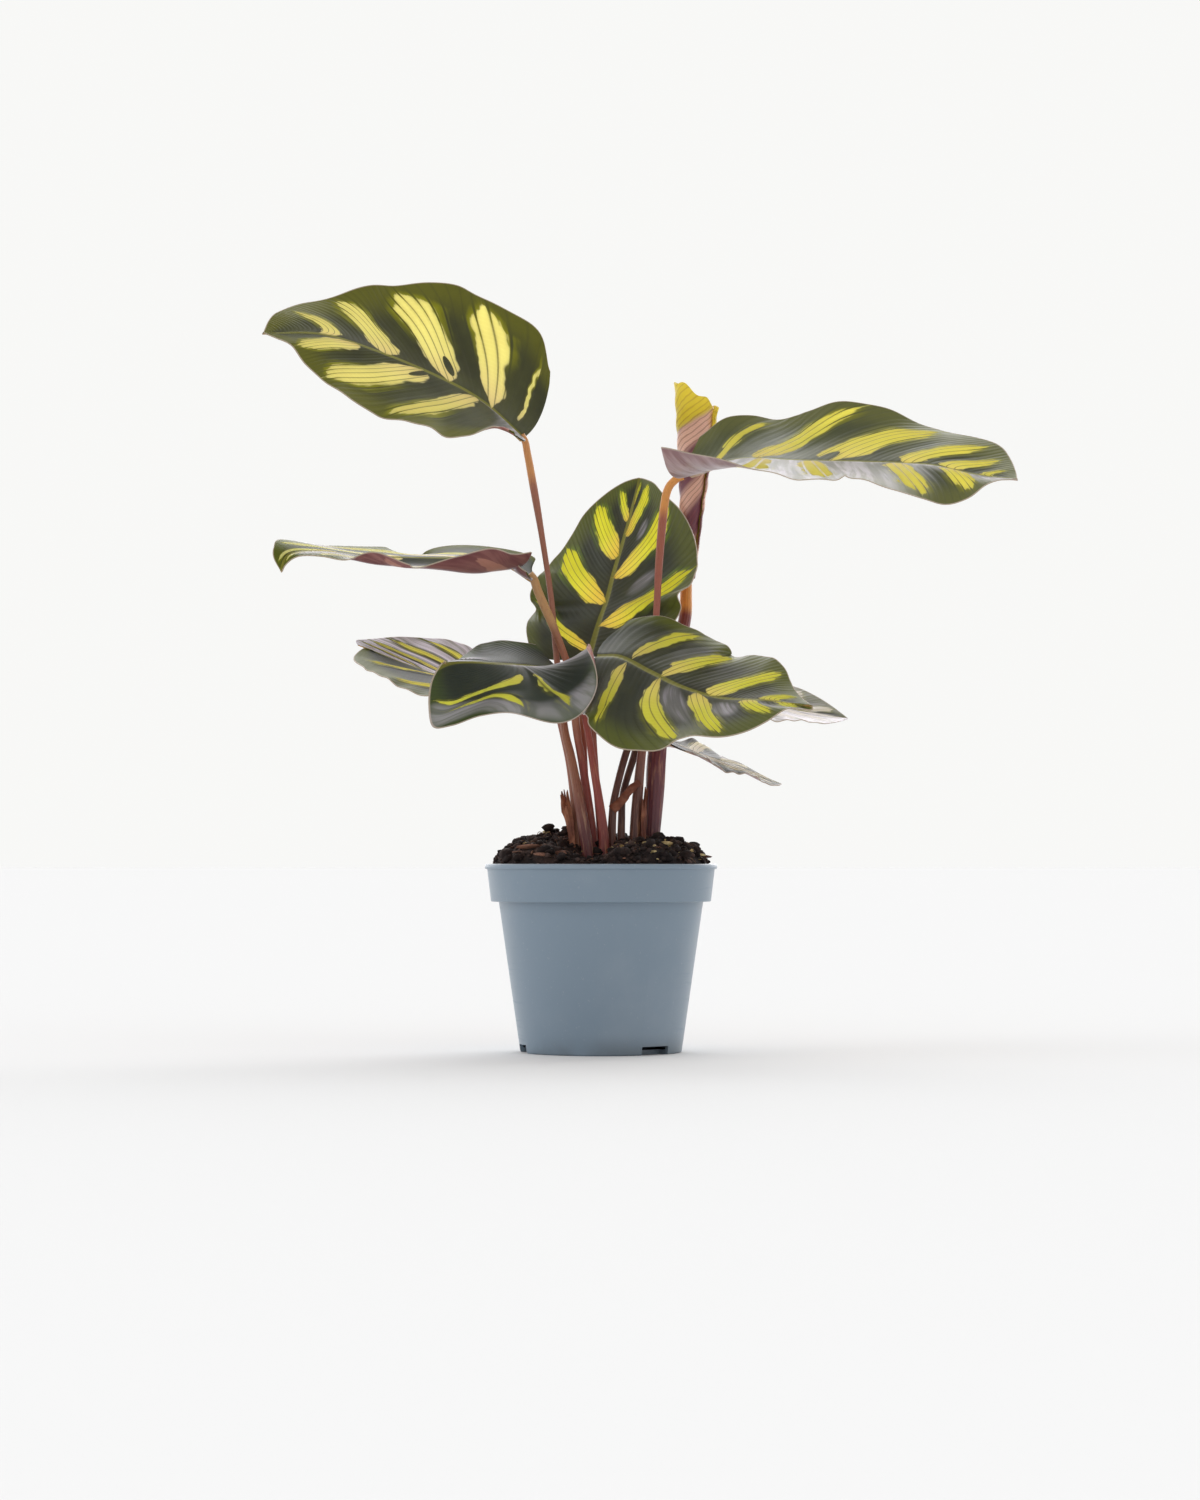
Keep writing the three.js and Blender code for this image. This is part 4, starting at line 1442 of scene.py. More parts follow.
@dataclass
class Crumbs:
    """Loose grains of one stuff scattered over the soil.

    Sizes are radii; flat and long stretch each grain; sector limits where they lie to angles
    and radii seen from above.
    """

    name: str
    finish: EarthFinish
    count: int
    size: tuple[float, float]
    flat: float = 0.8
    long: float = 1.3
    sector: tuple[float, float, float, float] = (0.0, 360.0, 0.0, 27.6)
    sunk: float = 0.3
    seed: int = 1

    LUMPS = (1.6, 3.1, 5.0)
    LUMP_HEIGHT = 0.34
    PHASES = 6.28

    def build(self, bed: "SoilBed") -> None:
        """Scatter the grains and place them.

        Args:
            bed: The soil that they lie on.
        """
        random = np.random.default_rng(self.seed)
        ball = bmesh.new()
        bmesh.ops.create_icosphere(ball, subdivisions=2, radius=1.0)
        corners = np.array([corner.co for corner in ball.verts])
        faces = np.array([[corner.index for corner in face.verts] for face in ball.faces])
        ball.free()
        low, high, near, far = self.sector
        angle = np.radians(random.uniform(low, high, self.count))
        radius = np.sqrt(random.uniform(near**2, far**2, self.count))
        small, large = self.size
        size = small + (large - small) * random.random(self.count) ** 2.5
        radius = np.minimum(radius, bed.radius + 0.4 - size)
        x, y = radius * np.cos(angle), radius * np.sin(angle)
        z = bed.height(x, y) + size * (self.flat - self.sunk)
        z = np.maximum(z, bed.edge - bed.lowest)
        stretch = np.stack([self.long * random.uniform(0.8, 1.25, self.count),
                            random.uniform(0.7, 1.0, self.count),
                            self.flat * random.uniform(0.7, 1.2, self.count)], -1)
        lumps = np.ones((self.count, len(corners)))
        for pitch in self.LUMPS:
            wave = random.normal(0, pitch, (self.count, 3)) @ corners.T
            phase = random.uniform(0, self.PHASES, (self.count, 1))
            lumps += self.LUMP_HEIGHT / pitch * np.sin(wave + phase)
        grains = corners[None] * lumps[..., None] * stretch[:, None]
        turns = self._turns(random)
        grains = np.einsum("nij,nkj->nki", turns, grains) * size[:, None, None]
        grains += np.stack([x, y, z], -1)[:, None]
        shift = np.arange(self.count)[:, None, None] * len(corners)
        crumbs = build_object(self.name, grains * MM, (faces[None] + shift).reshape(-1, 3),
                              [self.finish.material()], crease=75)
        place_piece(crumbs, SOIL_SLOT)

    def _turns(self, random: np.random.Generator) -> Array:
        """Turn each grain at random, mostly about the upright.

        Args:
            random: The grains' own source of random numbers.

        Returns:
            A matrix for each grain.
        """
        yaw = random.uniform(0, TURN, self.count)
        tilt = random.normal(0, 0.5, self.count)
        zero, one = 0 * yaw, 1 + 0 * yaw
        about_z = np.array([[np.cos(yaw), -np.sin(yaw), zero], [np.sin(yaw), np.cos(yaw), zero],
                            [zero, zero, one]])
        about_x = np.array([[one, zero, zero], [zero, np.cos(tilt), -np.sin(tilt)],
                            [zero, np.sin(tilt), np.cos(tilt)]])
        return np.einsum("ijn,jkn->nik", about_z, about_x)


@dataclass
class Hairs:
    """Fine dead roots that lie on the soil and stand out of it.

    Each is a thin tube of STEPS rings with SIDES corners.
    """

    name: str
    count: int
    length: tuple[float, float] = (3.0, 8.0)
    girth: tuple[float, float] = (0.07, 0.13)
    seed: int = 5

    STEPS = 10
    SIDES = 5
    FARTHEST = 26.5

    def build(self, bed: "SoilBed") -> None:
        """Lay the roots and place them.

        Args:
            bed: The soil that they lie on.
        """
        random = np.random.default_rng(self.seed)
        points, faces = [], []
        steps = np.linspace(0, 1, self.STEPS)
        angle = np.linspace(0, TURN, self.SIDES + 1)[:-1]
        tube = np.arange(self.STEPS * self.SIDES).reshape(self.STEPS, self.SIDES)
        closed = np.concatenate([tube, tube[:, :1]], 1)
        for number in range(self.count):
            way = random.uniform(0, TURN)
            radius = self.FARTHEST * math.sqrt(random.random())
            foot = np.array([radius * math.cos(way), radius * math.sin(way)])
            lying = random.uniform(0, TURN)
            length = random.uniform(*self.length) / self.STEPS
            heading = lying + random.normal(0, 1.2) * steps
            walk = np.cumsum(np.stack([np.cos(heading), np.sin(heading)], -1), 0) * length
            route = foot + walk
            far = np.linalg.norm(route, axis=1)
            route *= np.minimum(1, (bed.radius - 0.3) / far)[:, None]
            hump = random.uniform(0.2, 1.6) * np.sin(math.pi * steps)
            z = bed.height(route[:, 0], route[:, 1]) + hump - 0.1
            middle = np.column_stack([route, z])
            thick = random.uniform(*self.girth) * (1 - 0.6 * steps)
            around = np.stack([np.cos(angle), 0.6 * np.sin(angle), np.sin(angle)], -1)
            points.append(middle[:, None] + around[None] * thick[:, None, None])
            base = number * tube.size
            faces += [*(grid_faces(closed) + base), tube[0, ::-1] + base, tube[-1] + base]
        hairs = build_object(self.name, np.stack(points) * MM, faces, [FIBRE.material()],
                             crease=80)
        place_piece(hairs, SOIL_SLOT)


@dataclass
class SoilBed:
    """The heaped soil: a flat heap with a shoulder and a crest, under loose crumbs.

    Its edge stands at a level in the pot, and the heap rises over it within reach of the axis.
    All of it lies sunk a little, but never below the edge by more than the lowest. The crest
    and the hollow are given by their height, their place and how far they spread.
    """

    edge: float = 47.5
    heap: float = 7.0
    radius: float = 28.1
    reach: float = 28.4
    rings: int = 80
    sides: int = 160
    depth: float = 7.0
    sunk: float = 0.6
    lowest: float = 1.5
    crest: tuple[float, float, float, float] = (3.0, -9.5, 3.0, 55.0)
    hollow: tuple[float, float, float, float, float] = (6.5, -3.0, -15.0, 70.0, 110.0)

    def height(self, x: Array, y: Array) -> Array:
        """Find the level of the soil.

        Args:
            x: How far right of the axis.
            y: How far back of the axis.

        Returns:
            The levels, all in millimetres.
        """
        reach = np.hypot(x, y) / self.reach
        heap = self.heap * (1 - reach**9)
        high, right, back, spread = self.crest
        crest = high * np.exp(-((x - right) ** 2 + (y - back) ** 2) / spread)
        coarse = np.sin(0.9 * x + 0.5 * y) * np.cos(0.8 * y - 0.3 * x)
        fine = 0.7 * np.sin(1.7 * x - 1.1 * y + 1)
        deep, right, back, width, length = self.hollow
        hollow = deep * np.exp(-((x - right) ** 2) / width - (y - back) ** 2 / length)
        rough = 0.8 * (coarse + fine) * (1 - reach**4)
        level = self.edge + heap + crest + rough - hollow - self.sunk
        return np.maximum(level, self.edge - self.lowest)

    def build(self) -> None:
        """Build and place the bed, the crumbs on it and the fine roots."""
        share = np.linspace(0, 1, self.rings + 1) ** 0.8
        angle = np.linspace(0, TURN, self.sides + 1)
        angle[-1] = 0.0
        radius = self.radius * share[:, None]
        x, y = radius * np.cos(angle), radius * np.sin(angle)
        z = self.height(x, y)
        rough = np.array([[noise.noise(Vector((a, b, 3.0)) * 1.1) for a, b in zip(row, line)]
                          for row, line in zip(x, y)])
        z = z + 0.9 * rough * (1 - share[:, None] ** 6)
        top = np.stack([x, y, z], -1)
        wall = top[-1:] * np.array([0.97, 0.97, 0]) + np.array([0, 0, self.edge - self.depth])
        centre = wall * np.array([0, 0, 1.0])
        points = np.concatenate([top, wall, centre])
        bed = build_object("soil_bed", points * MM, grid_faces(numbered(points), True),
                           [PEAT.material()], crease=80)
        place_piece(bed, SOIL_SLOT, "soil")
        for crumbs in SOIL_CRUMBS:
            crumbs.build(self)
        Hairs("root_hairs", 70).build(self)


SOIL_CRUMBS = (
    Crumbs("peat_crumbs", CLOD, 2600, (0.16, 0.85), seed=11),
    Crumbs("peat_lumps", PEAT, 240, (0.8, 1.8), 0.75, 1.2, seed=12),
    Crumbs("bark_chips", BARK, 110, (0.3, 1.1), 0.25, 2.8, seed=13),
    Crumbs("bark_front_left", BARK, 16, (0.7, 1.7), 0.3, 2.6, (190, 255, 14, 26), 0.1, seed=14),
    Crumbs("moss_front_right", MOSS, 46, (0.2, 1.0), 0.5, 2.0, (300, 350, 14, 27), 0.1, seed=15),
    Crumbs("moss_middle", MOSS, 26, (0.2, 1.0), 0.5, 2.0, (280, 320, 6, 16), 0.1, seed=16),
    Crumbs("moss_grains", MOSS, 50, (0.2, 0.7), 0.6, 1.5, seed=17),
)


@dataclass
class Studio:
    """A pale floor, soft light and the camera at the photograph's viewing angle.

    Front, sides and back are the strengths of the room's light from those sides. SUNS are the
    name, the way to it, the strength and the breadth of each distant light.
    """

    lens: float = 85.0
    sensor: float = 36.0
    camera_place: tuple[float, float, float] = (-0.26, -916.0, 49.0)
    camera_pitch: float = 1.81
    backdrop: float = 0.94
    floor_tint: float = 0.76
    floor_size: float = 30.0
    front: float = 0.5
    sides: float = 0.4
    back: float = 2.9

    SUNS = (("back_light", (0.25, 0.85, 0.75), 1.2, 60.0),
            ("left_light", (-0.9, -0.15, 0.55), 0.5, 50.0),
            ("front_light", (0.15, -0.9, 0.55), 0.5, 90.0))

    def build(self) -> None:
        """Build the camera, the lights, the floor and the light of the room."""
        data = bpy.data.cameras.new("camera")
        data.lens = self.lens
        data.sensor_width = self.sensor
        camera = bpy.data.objects.new("camera", data)
        camera.location = Vector(self.camera_place) * MM
        camera.rotation_euler = (math.radians(90 + self.camera_pitch), 0, 0)
        bpy.context.scene.collection.objects.link(camera)
        bpy.context.scene.camera = camera
        bpy.context.scene.view_settings.view_transform = "Standard"
        for sun in self.SUNS:
            self._sun(*sun)
        self._floor()
        self._room()

    @staticmethod
    def _sun(name: str, towards: tuple[float, float, float], power: float, spread: float) -> None:
        """Add a broad distant light.

        Args:
            name: The light's name.
            towards: The way to it from the plant.
            power: Its strength.
            spread: How broad it is, in degrees.
        """
        data = bpy.data.lights.new(name, "SUN")
        data.energy = power
        data.angle = math.radians(spread)
        light = bpy.data.objects.new(name, data)
        light.rotation_euler = Vector(towards).to_track_quat("Z", "Y").to_euler()
        bpy.context.scene.collection.objects.link(light)

    def _floor(self) -> None:
        """Add the floor, which isn't part of the object."""
        shader = Shader("studio_floor")
        shade = (self.floor_tint, self.floor_tint, self.floor_tint, 1.0)
        material = shader.finish(shader.add("ShaderNodeBsdfDiffuse", None, {0: shade}).outputs[0])
        corners = np.array([[-1, -1, 0], [1, -1, 0], [1, 1, 0], [-1, 1, 0]]) * self.floor_size
        floor = build_object("floor", corners, [[0, 1, 2, 3]], [material])

    def _room(self) -> None:
        """Light the room from all round, brightest behind the plant, on a pale backdrop."""
        world = bpy.data.worlds.new("studio")
        bpy.context.scene.world = world
        shader = Shader("studio", world)
        aside, back, _ = shader.split(shader.add("ShaderNodeTexCoord").outputs["Generated"])
        strength = self.front + self.sides * abs(aside) + self.back * back.most(0.0) ** 2
        lit = shader.add("ShaderNodeBackground", None, {"Strength": strength}).outputs[0]
        pale = (self.backdrop, self.backdrop, self.backdrop * 0.985, 1.0)
        seen = shader.add("ShaderNodeBackground", None, {"Color": pale}).outputs[0]
        camera = shader.add("ShaderNodeLightPath").outputs["Is Camera Ray"]
        mixed = shader.add("ShaderNodeMixShader", None, {0: camera, 1: lit, 2: seen}).outputs[0]
        shader.add("ShaderNodeOutputWorld", None, {"Surface": mixed})


def rising(x: float, y: float, *points: tuple[float, float, float]) -> tuple:
    """Lead a stalk straight up through the soil and on through its other points."""
    return ((x, y, ROOT_LEVEL), (x, y, SOIL_LEVEL), *points)


TAWNY = StalkFinish(sheath=tint(150, 96, 70), middle=tint(152, 98, 78), neck=tint(158, 98, 76),
                    joint=tint(206, 142, 84), pale=tint(208, 170, 138))
REDDISH = StalkFinish(foot=tint(110, 44, 42), sheath=tint(140, 58, 50), middle=tint(152, 68, 56),
                      neck=tint(156, 104, 74), joint=tint(188, 142, 92), joint_from=0.86)
DUSKY = StalkFinish(foot=tint(92, 48, 42), sheath=tint(98, 60, 48), middle=tint(84, 52, 46),
                    neck=tint(88, 60, 50), joint=tint(120, 90, 56), pale=tint(170, 132, 100))
LEAVES = (
    Leaf(
        "top_left",
        midrib=((-20, -4, 158.5), (-30, -9.5, 167.1), (-41, -14, 172.9), (-56.5, -19.5, 178.8),
                (-71, -24.5, 182.5), (-85, -31, 181.6)),
        turn=(-40, -42, -43),
        right=Half(
            29, (20, -5, 8), (33, 45, -20), (-2.4, 3.7, 0.2), 0.07,
            stripes=stripes((0.05, 0.005, 0.1), (0.155, 0.03), (0.325, 0.052), (0.56, 0.052),
                            (0.79, 0.036, 0.75)), lean=(0, -0.02, -0.17, -0.3, -0.25),
            pull=((0.8, 1.8), (2.8, 0.8), (1.5, 1.1), (0.5, 0.9), (0, 0.1), (0.6, -1.8),
                  (0.4, -1.2), (0.2, -0.6), (-0.3, 0.2), (-0.4, 0.3), (-0.2, 0.1), (0.1, 0.1),
                  (0.3, 0.4)), spots=spots((0.305, 0.22))),
        left=Half(
            25.5, (20, -10, 5), (-6, 6, -33), (-1.2, 3.5, 0.2), 0.0,
            stripes=stripes((0.225, 0.03, 0.9), (0.43, 0.056), (0.675, 0.056)),
            lean=(0.05, 0.06, 0.04, -0.05, -0.1),
            pull=((-6.6, 5.4), (-0.8, 0.5), (0.3, -0.2), (0, -0.5), (-1.4, -1.6), (-1.3, -1.5),
                  (0.3, 0.3), (0.2, 0.3), (0.1, 0.3), (0.2, 0.3)),
            spots=spots((0.405, 0.12, 0.014, 0.12))),
        stalk=rising(-3.2, -7, (-4.5, -6.7, 58.5), (-7.5, -6, 75), (-9.5, -5.5, 84),
                     (-11.5, -5, 102.5), (-13, -4.5, 118), (-15.5, -4, 134.5), (-18, -4, 149),
                     (-19.1, -3.8, 155), (-19.6, -3.9, 157.6), (-20.6, -4.4, 159.2)),
        girth=(1.6, 1.6, 1.5, 1.15, 0.95, 0.8, 0.75, 0.75, 1.0, 0.9),
        stalk_finish=TAWNY,
        finish=LeafFinish(
            dark=tint(76, 78, 46), deep=tint(60, 62, 42), margin=tint(102, 102, 36),
            lime=tint(236, 232, 150), cream=tint(248, 230, 176), through=tint(252, 250, 196),
            through_foot=tint(255, 244, 212), glow_share=0.95, gloss=0.48, shine=0.15),
    ),
    Leaf(
        "top_right",
        midrib=((23, -8, 149), (35.5, -11, 152.5), (51, -11.5, 152), (66.5, -12.5, 151.5),
                (83.5, -18.5, 150), (94.5, -23.5, 147), (104, -34, 144.5)),
        turn=(13, 23, 31),
        right=Half(
            25, (-4, 3, 4, 1, -1), (0, 4, 8, -15, -40), (1.2, 2.1, 0), 0.06,
            stripes=stripes((0.12, 0.004, -0.5), (0.22, 0.022, 0.7), (0.35, 0.028, 0.9),
                            (0.6, 0.035), (0.78, 0.045, 0.9)),
            lean=(-0.1, -0.18, -0.17, -0.15, -0.1),
            pull=((-6.2, 9), (-2, 0.4), (0.4, -1), (0, -0.4), (0, 0), (-0.1, -0.7), (0.1, -1.7),
                  (0.5, -1), (0, 0.8), (-0.3, 1.1), (-0.1, 0.6), (0, 0.4), (0, 0.3))),
        left=Half(
            25, (-9, 8, 9), (60, 15, -16), (3.2, 2.4, 0.1), 0.07,
            stripes=stripes((0.05, 0.014, 0.5), (0.205, 0.032), (0.41, 0.055), (0.63, 0.042),
                            (0.76, 0.035, 0.75), (0.89, 0.02, 0.5)),
            lean=(0.1, 0.04, -0.12, -0.16, -0.1),
            pull=((-0.1, 1.7), (-0.5, 0.1), (-0.2, 0.6), (-0.1, -0.5), (0.1, 0.5), (0.2, 0.9),
                  (0, 0), (0.1, 0), (0.2, 0), (0, 0.1), (-0.1, 0.3)),
            spots=spots((0.385, 0.12, 0.02, 0.13))),
        stalk=rising(8.9, -1.4, (9.1, -1.6, 60), (9.7, -2, 69), (10.6, -2.8, 78), (12, -3.6, 90.5),
                     (14, -4, 109), (15, -5.5, 126.5), (16.2, -7.6, 140), (17.3, -8, 145),
                     (19.4, -8, 147.4), (21, -7.9, 148.1)),
        girth=(1.9, 1.9, 1.7, 1.35, 1.1, 0.9, 0.85, 0.85, 1.0, 1.1, 1.0),
        stalk_finish=StalkFinish(foot=tint(84, 48, 42), sheath=tint(108, 64, 50)),
        finish=LeafFinish(
            dark=tint(84, 88, 56), deep=tint(66, 70, 48), margin=tint(100, 102, 54),
            painted_sheen_right=0.4, painted_sheen_left=0.84, painted_sheen_under=-0.2, painted_sheen_share=1.1),
    ),
    Leaf(
        "middle_left",
        midrib=((-17.5, -8, 122), (-24.5, -9.5, 126), (-33.5, -16.5, 126.5), (-45.5, -24, 126),
                (-58, -28, 126), (-70, -35.5, 126.5), (-77, -43, 125), (-79, -45, 120.5)),
        turn=(-5, -7, -17),
        right=Half(23, (9, 2, 11), (12, -5, 1), (-1.9, 1.9, 0.75), 0.02, lean=(0.1, 0.1)),
        left=Half(
            22, (-12, -34, -28, -8, 2), (40, 62, 50, 16, -4), (-1.2, 2.9, 0.5), 0.0,
            lean=(0.1, 0.1),
            pull=((-1.5, 0), (-2.5, 3), (1.6, 4), (3.3, 0.2), (3.3, 1.5), (2.7, 2.1), (1.5, -0.1),
                  (0.4, 0.6), (0, 0.8), (-0.3, 0.6), (-0.4, 0.3), (-0.1, 0), (0.2, 0))),
        stalk=rising(0.8, -6.9, (0.4, -7, 58.5), (-2, -7, 74), (-3.5, -7, 83), (-5.5, -7.5, 92),
                     (-9, -7.5, 101), (-12.5, -7.5, 110), (-14.5, -7.5, 114.5),
                     (-16.3, -7.6, 118.8), (-17.2, -7.9, 121.4), (-18.4, -8.2, 122.9)),
        girth=(1.5, 1.5, 1.4, 1.15, 1.0, 0.85, 0.85, 0.95, 1.15, 1.1),
        stalk_finish=REDDISH,
        ripple=(0.1, 7.0),
        quilt=0.08,
        finish=LeafFinish(
            painted_sheen_right=0.92, painted_sheen_left=0.7, under_dark=tint(104, 62, 66),
            under_light=tint(176, 126, 118), under_share=0.08, shine=0.02, painted_sheen_share=0.95,
            fine=0.15, light_share=0.2, through_under=tint(246, 186, 150)),
    ),
    Leaf(
        "left_back",
        midrib=((-16, -2, 93), (-26, 2, 94), (-35.5, 6, 96), (-45, 12, 99), (-53, 17.5, 102),
                (-59, 21.5, 104.5), (-65, 28, 107)),
        turn=(-22, -14, -35),
        right=Half(
            20, (8, 3, 20), (0, 0, 0), (-1.5, 2.4, 0.3), 0.07,
            stripes=stripes((0.1, 0.022), (0.25, 0.026), (0.42, 0.026), (0.6, 0.022)),
            lean=(0.2, 0.3, 0.35, 0.3, 0.1),
            pull=((0, 0), (0, 0), (0, 0), (0, 0), (0, -1), (-0.5, -1), (-1, 0), (-1, 0.8), (0, 0))),
        left=Half(
            20, (8, 8, 18), (-8, -6, -4), (-0.8, 2.2, 0.4), 0.07,
            stripes=stripes((0.2, 0.02, 0.5), (0.45, 0.02, 0.3)), lean=(0.1, 0.1),
            pull=((0, 0), (0, 0), (0, 0), (0, 0), (0, 0), (1, 0), (2, 0), (3, -0.5), (0, 0))),
        stalk=rising(-5.9, -3.4, (-6.4, -3, 60), (-7.8, -2.6, 72.5), (-9.4, -2.2, 81),
                     (-11, -2, 88), (-12.8, -2.1, 92.3), (-14.6, -2.2, 93.2)),
        girth=(1.4, 1.4, 1.3, 1.2, 1.05, 1, 1.1, 1.2),
        stalk_finish=TAWNY,
        finish=LeafFinish(
            dark=tint(50, 52, 44), deep=tint(38, 40, 38), parting=0.92, painted_sheen_right=-1.2,
            painted_sheen_left=0.97, painted_sheen_share=1.8, shine=0.1),
    ),
    Leaf(
        "left_front",
        midrib=((-10.5, -16, 98), (-18, -23, 98.6), (-25.5, -32, 98.7), (-32, -41, 98.6),
                (-36, -47, 98.2), (-38.6, -51, 97.6)),
        turn=(-15, -22, -30),
        right=Half(
            18, (10, 6, 0), (14, -6, 0), (0.6, 1.3, 0.8), 0.07, stripes=stripes((0.5, 0.003, -0.9)),
            lean=(0.1, 0.1),
            pull=((2.1, 0.2), (3.7, -2.7), (4.4, -5.5), (2.7, -4.2), (1.2, -2.1), (0.5, -0.4),
                  (0.2, 0.4))),
        left=Half(
            26, (50, 6, -20, -33, -45), (-45, -20, -17, -13, -10), (-1.3, 1.6, 0.5), 0.09,
            stripes=stripes((0.302, 0.006, 0.5), (0.348, 0.01)), lean=(-0.15, -0.08, 0.3, 0.4, 0.2),
            pull=((-5.5, -0.9), (-1.3, 1.5), (1.2, 2.7), (1.8, 4.6), (0.3, 4.3), (-2.4, 0.3),
                  (-5.4, -5.8), (-7, -9.4), (-6, -6.9), (-4.1, -3.6), (-1.7, -1.4), (0.2, 0.2)),
            spots=spots((0.33, 0.1, 0.07, 0.16)), sheens=spots((0.28, 0.86, 0.06, 0.16))),
        stalk=rising(-1.6, -3.6, (-2.7, -3.8, 60), (-4.6, -4.3, 73), (-6.3, -6.3, 83),
                     (-6.8, -10, 90), (-7.4, -13, 95.5), (-8.6, -14.6, 98), (-9.7, -15.4, 98.4)),
        girth=(1.4, 1.4, 1.3, 1.15, 1.05, 1, 1.1, 1.2),
        stalk_finish=REDDISH,
        ripple=(0.1, 6.0),
        finish=LeafFinish(
            dark=tint(58, 64, 56), deep=tint(46, 52, 46), margin=tint(66, 78, 44),
            lime=tint(220, 224, 108), through=tint(240, 248, 122), painted_sheen_right=0.84, painted_sheen_left=0.6,
            glow_share=0.3, shine=0.12),
    ),
    Leaf(
        "centre",
        midrib=((-3, 6.5, 103), (-0.5, 11, 112), (1.5, 13.5, 118), (3.5, 17, 126), (6.5, 23, 136.5),
                (10.5, 33, 152)),
        turn=(4, 3, -6),
        right=Half(
            24, (8, 0, 17), (1, 1, -1), (0.8, 2.2, 0.5), 0.07,
            stripes=stripes((0.16, 0.038), (0.41, 0.046), (0.665, 0.056), (0.85, 0.034, 0.4)),
            lean=(0.08, 0.06, 0.1, 0.05, 0),
            pull=((3.1, 3.5), (1.6, 2.9), (0.5, 1.7), (0.2, 0.5), (0.2, -0.3), (-0.1, -0.3),
                  (0.3, 0.5), (0.2, 0.5), (0.1, 0.3), (0, 0.1)),
            sheens=spots((0.273, 0.4, 0.03, 0.16), (0.518, 0.49, 0.03, 0.13))),
        left=Half(
            22.5, (9, 0, 16), (-4, -8, -10), (1.4, 1.8, 0.6), 0.07,
            stripes=stripes((0.035, 0.024, 0.9), (0.28, 0.048), (0.54, 0.06), (0.75, 0.028, 0.55)),
            lean=(0.2, 0.09, 0, -0.06, 0),
            pull=((0.2, -1.7), (-0.3, 0), (-0.6, -1), (0, -0.7), (0.9, -0.7), (0.3, -0.1),
                  (-0.2, 0.3), (-0.4, 0.7), (-0.4, 0.9), (-0.2, 0.7), (-0.1, 0.4), (-0.1, 0.2))),
        stalk=rising(-3.6, -0.2, (-3.8, 0, 60), (-4.4, 0.6, 73), (-4.8, 2, 84), (-4.6, 4, 94),
                     (-3.6, 5.6, 100), (-3.2, 6.1, 101.8)),
        girth=(1.3, 1.3, 1.25, 1.15, 1.05, 1, 1.1, 1.2),
        stalk_finish=REDDISH,
        ripple=(0.15, 9.0),
        finish=LeafFinish(
            cream=tint(244, 206, 108), lime=tint(216, 220, 84), glow=tint(112, 142, 18),
            through=tint(240, 244, 88), through_foot=tint(255, 228, 122)),
    ),
    Leaf(
        "right_front",
        midrib=((-1, -17, 101.5), (5, -20, 101), (12.5, -24, 97), (20, -30, 93), (29.5, -34.5, 90),
                (40.5, -42.5, 89), (52, -47.5, 87.5)),
        turn=(34, 34, 26),
        right=Half(
            25, (-1, -2, 0), (-14, 2, -15), (3, 2.6, 0.6), 0.07,
            stripes=stripes((0.14, 0.018, 0.7), (0.305, 0.025), (0.495, 0.04), (0.73, 0.036, 0.8),
                            (0.9, 0.04, 0.6)), lean=(0.03, 0, -0.1, -0.14, -0.1),
            pull=((2.5, -0.2), (0.8, -0.7), (0.5, -0.4), (0.9, 0.1), (0.6, -0.3), (0, 0.1),
                  (-0.4, 1.1), (0, -0.1), (0.1, -0.9), (0, -0.9)),
            sheens=spots((0.386, 0.33, 0.05, 0.28), (0.6, 0.42, 0.06, 0.22))),
        left=Half(
            22.5, (-3, 5, -5), (3, -16, 10), (-2.3, 1.7, 0.6), 0.07,
            stripes=stripes((0.15, 0.017, 0.7), (0.3, 0.036), (0.545, 0.045), (0.83, 0.044)),
            lean=(0, -0.05, -0.1, -0.18, -0.15),
            pull=((0.6, -0.4), (-0.2, -0.4), (0, -0.2), (0.6, 0.1), (0.5, 0.4), (0.3, 0),
                  (-0.2, -0.2), (-0.3, -0.3), (-0.2, -0.2), (-0.2, -0.2), (-0.2, -0.3)),
            spots=spots((0.27, 0.1, 0.012, 0.1))),
        stalk=rising(0.4, -0.3, (-0.3, -0.5, 60), (-1.4, -1, 72), (-2, -2.6, 82), (-1.9, -6, 89),
                     (-2.6, -11, 94.5), (-4.4, -14.5, 98.5), (-4.2, -16.4, 101.2),
                     (-2.1, -17, 101.6)),
        girth=(1.3, 1.3, 1.25, 1.1, 1, 0.9, 0.85, 0.8, 0.8, 0.75),
        stalk_finish=replace(REDDISH, neck=tint(112, 84, 54), joint=tint(116, 100, 52)),
        finish=LeafFinish(
            lime=tint(222, 224, 104), through=tint(242, 248, 118), painted_sheen_right=0.66,
            painted_sheen_left=0.7),
    ),
    Leaf(
        "right_back",
        midrib=((18.5, 20, 94.5), (30, 27, 94), (42.5, 33.5, 91.5), (55.5, 39, 89.5), (67, 44, 88)),
        turn=(26, 20, 25),
        right=Half(22, (12, 8, 10), (-3, -8, 7), (0.8, 2.2, 0)),
        left=Half(22, (10, 12, 18), (0, -5, -6), (0.8, 2.2, 0.2)),
        stalk=rising(2.7, -3.4, (2.9, -3.6, 60), (3.7, -3.4, 66.5), (6.6, -1, 77.5), (9.5, 4, 84),
                     (13, 11, 90.5), (16, 17, 94), (17.4, 18.9, 94.5)),
        girth=(1.4, 1.4, 1.3, 1.05, 0.95, 0.95, 0.95, 1.1, 1.15),
        stalk_finish=DUSKY,
        finish=LeafFinish(
            # The stripes are real, but they are coloured the whitish lilac of a painted sheen in
            # place of their own lime and cream.
            lime=tint(226, 220, 222), cream=tint(226, 220, 222), light_share=0.25,
            through=tint(240, 236, 236), through_foot=tint(240, 236, 236), painted_sheen_right=0.3,
            painted_sheen_left=0.3, painted_sheen_share=1.6),
    ),
    Leaf(
        "lower_right",
        midrib=((16, 17, 82), (24.5, 22, 78.5), (33.5, 26.5, 75.5), (41.5, 30.5, 72.5),
                (48.5, 34.5, 70)),
        turn=(7, 14, 13),
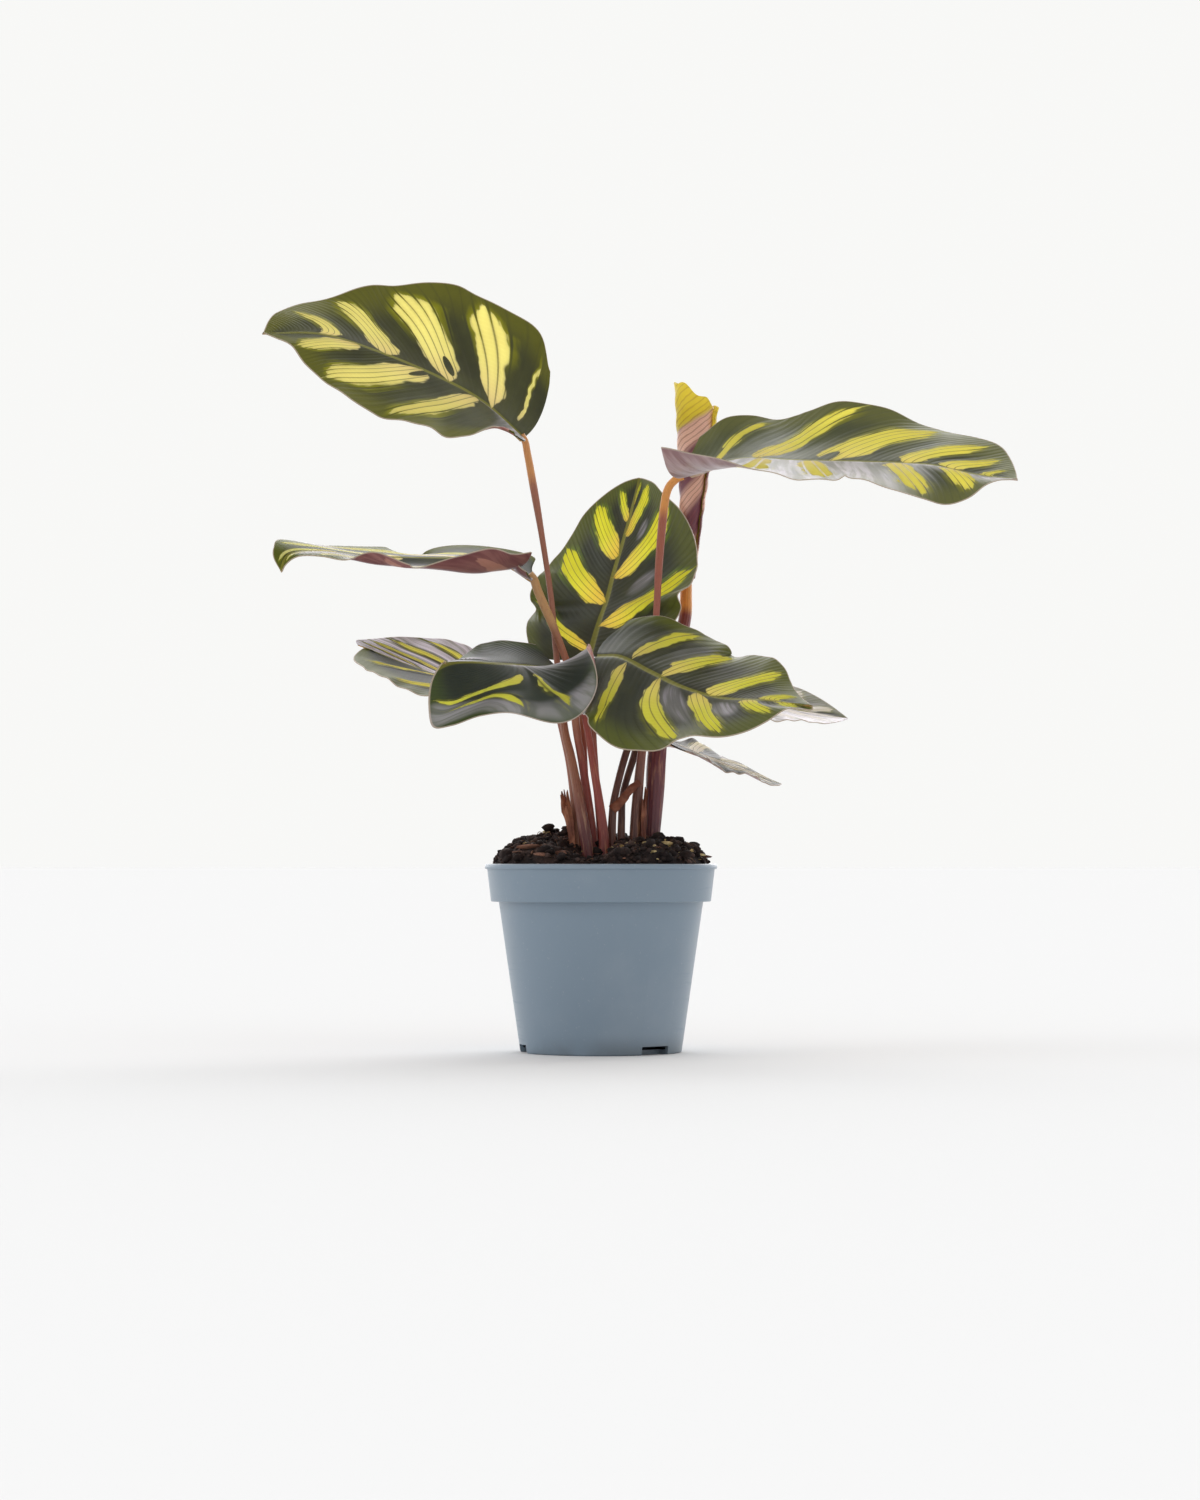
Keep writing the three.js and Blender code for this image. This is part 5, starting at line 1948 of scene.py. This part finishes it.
        right=Half(18, (-8, 0, -5), (-7, -2, -3), (-0.6, 2.3, 0.5)),
        left=Half(18, (-4, 6, 0), (-6, -6, 7), (-1.2, 2.5, 0.6)),
        stalk=rising(5.2, -0.6, (5.3, -0.3, 60), (5.8, 0.6, 67), (8.6, 3.6, 76.5), (9.8, 8, 80.5),
                     (12, 13.4, 83), (15.2, 16.4, 82.5)),
        girth=(1.3, 1.3, 1.2, 1, 0.9, 0.95, 1.1, 1.15),
        stalk_finish=DUSKY,
        finish=LeafFinish(
            dark=tint(50, 48, 50), deep=tint(40, 38, 42), margin=tint(62, 60, 52),
            # The stripes are real, but they are coloured the whitish lilac of a painted sheen in
            # place of their own lime and cream.
            lime=tint(222, 218, 216), cream=tint(222, 218, 216), light_share=0.2,
            through=tint(240, 238, 236), through_foot=tint(240, 238, 236), painted_sheen_right=0.93,
            painted_sheen_left=0.93, shine=0.05),
    ),
)

ROLLED = RolledLeaf(
    axis=((22.5, 20, 124), (23.5, 22, 137), (24.5, 24, 152), (25.5, 25.5, 177)),
    radius=(2.5, 3.5, 5, 6.5),
    pitch=1.0,
    turns=1.35,
    start=-25.0,
    drop=0.13,
    flap=2.2,
    stalk=rising(13.2, 2.2, (13.2, 2.2, 55), (14, 2.5, 67.5), (14.5, 3, 76.5), (16, 6, 88.5),
                 (19, 11, 101.5), (22, 16, 112.5), (22.5, 19, 120), (22.5, 19.8, 123.4)),
    girth=(1.7, 1.7, 1.9, 2.3, 2.5, 2.2, 1.9, 1.8, 1.7, 1.5),
    stalk_finish=StalkFinish(
        foot=tint(78, 34, 42), sheath=tint(96, 44, 54), middle=tint(104, 50, 58),
        neck=tint(120, 60, 56)),
)

BRIDGE = Bridge(((2.8, -5.4, 62.4), (5.2, -5.6, 64.6), (7.6, -5.4, 67.6), (10, -5, 69.6)), 2.5)

SCALES = (
    Scale("scale_left", "left_back", (135, 255), 0.24, 0.58, 1.6),
    Scale("scale_right", "top_right", (-60, 50), 0.14, 0.32, 0.2),
)


def main() -> None:
    """Build every piece of the plant, its pot and the studio."""
    logging.basicConfig(level=logging.INFO, format="%(name)s: %(message)s")
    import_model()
    Pot().build()
    SoilBed().build()
    leaves = {leaf.name: leaf for leaf in LEAVES}
    for leaf in LEAVES:
        leaf.build()
    ROLLED.build()
    for scale in SCALES:
        scale.build(leaves[scale.leaf])
    BRIDGE.build()
    Studio().build()


if __name__ == "__main__":
    main()
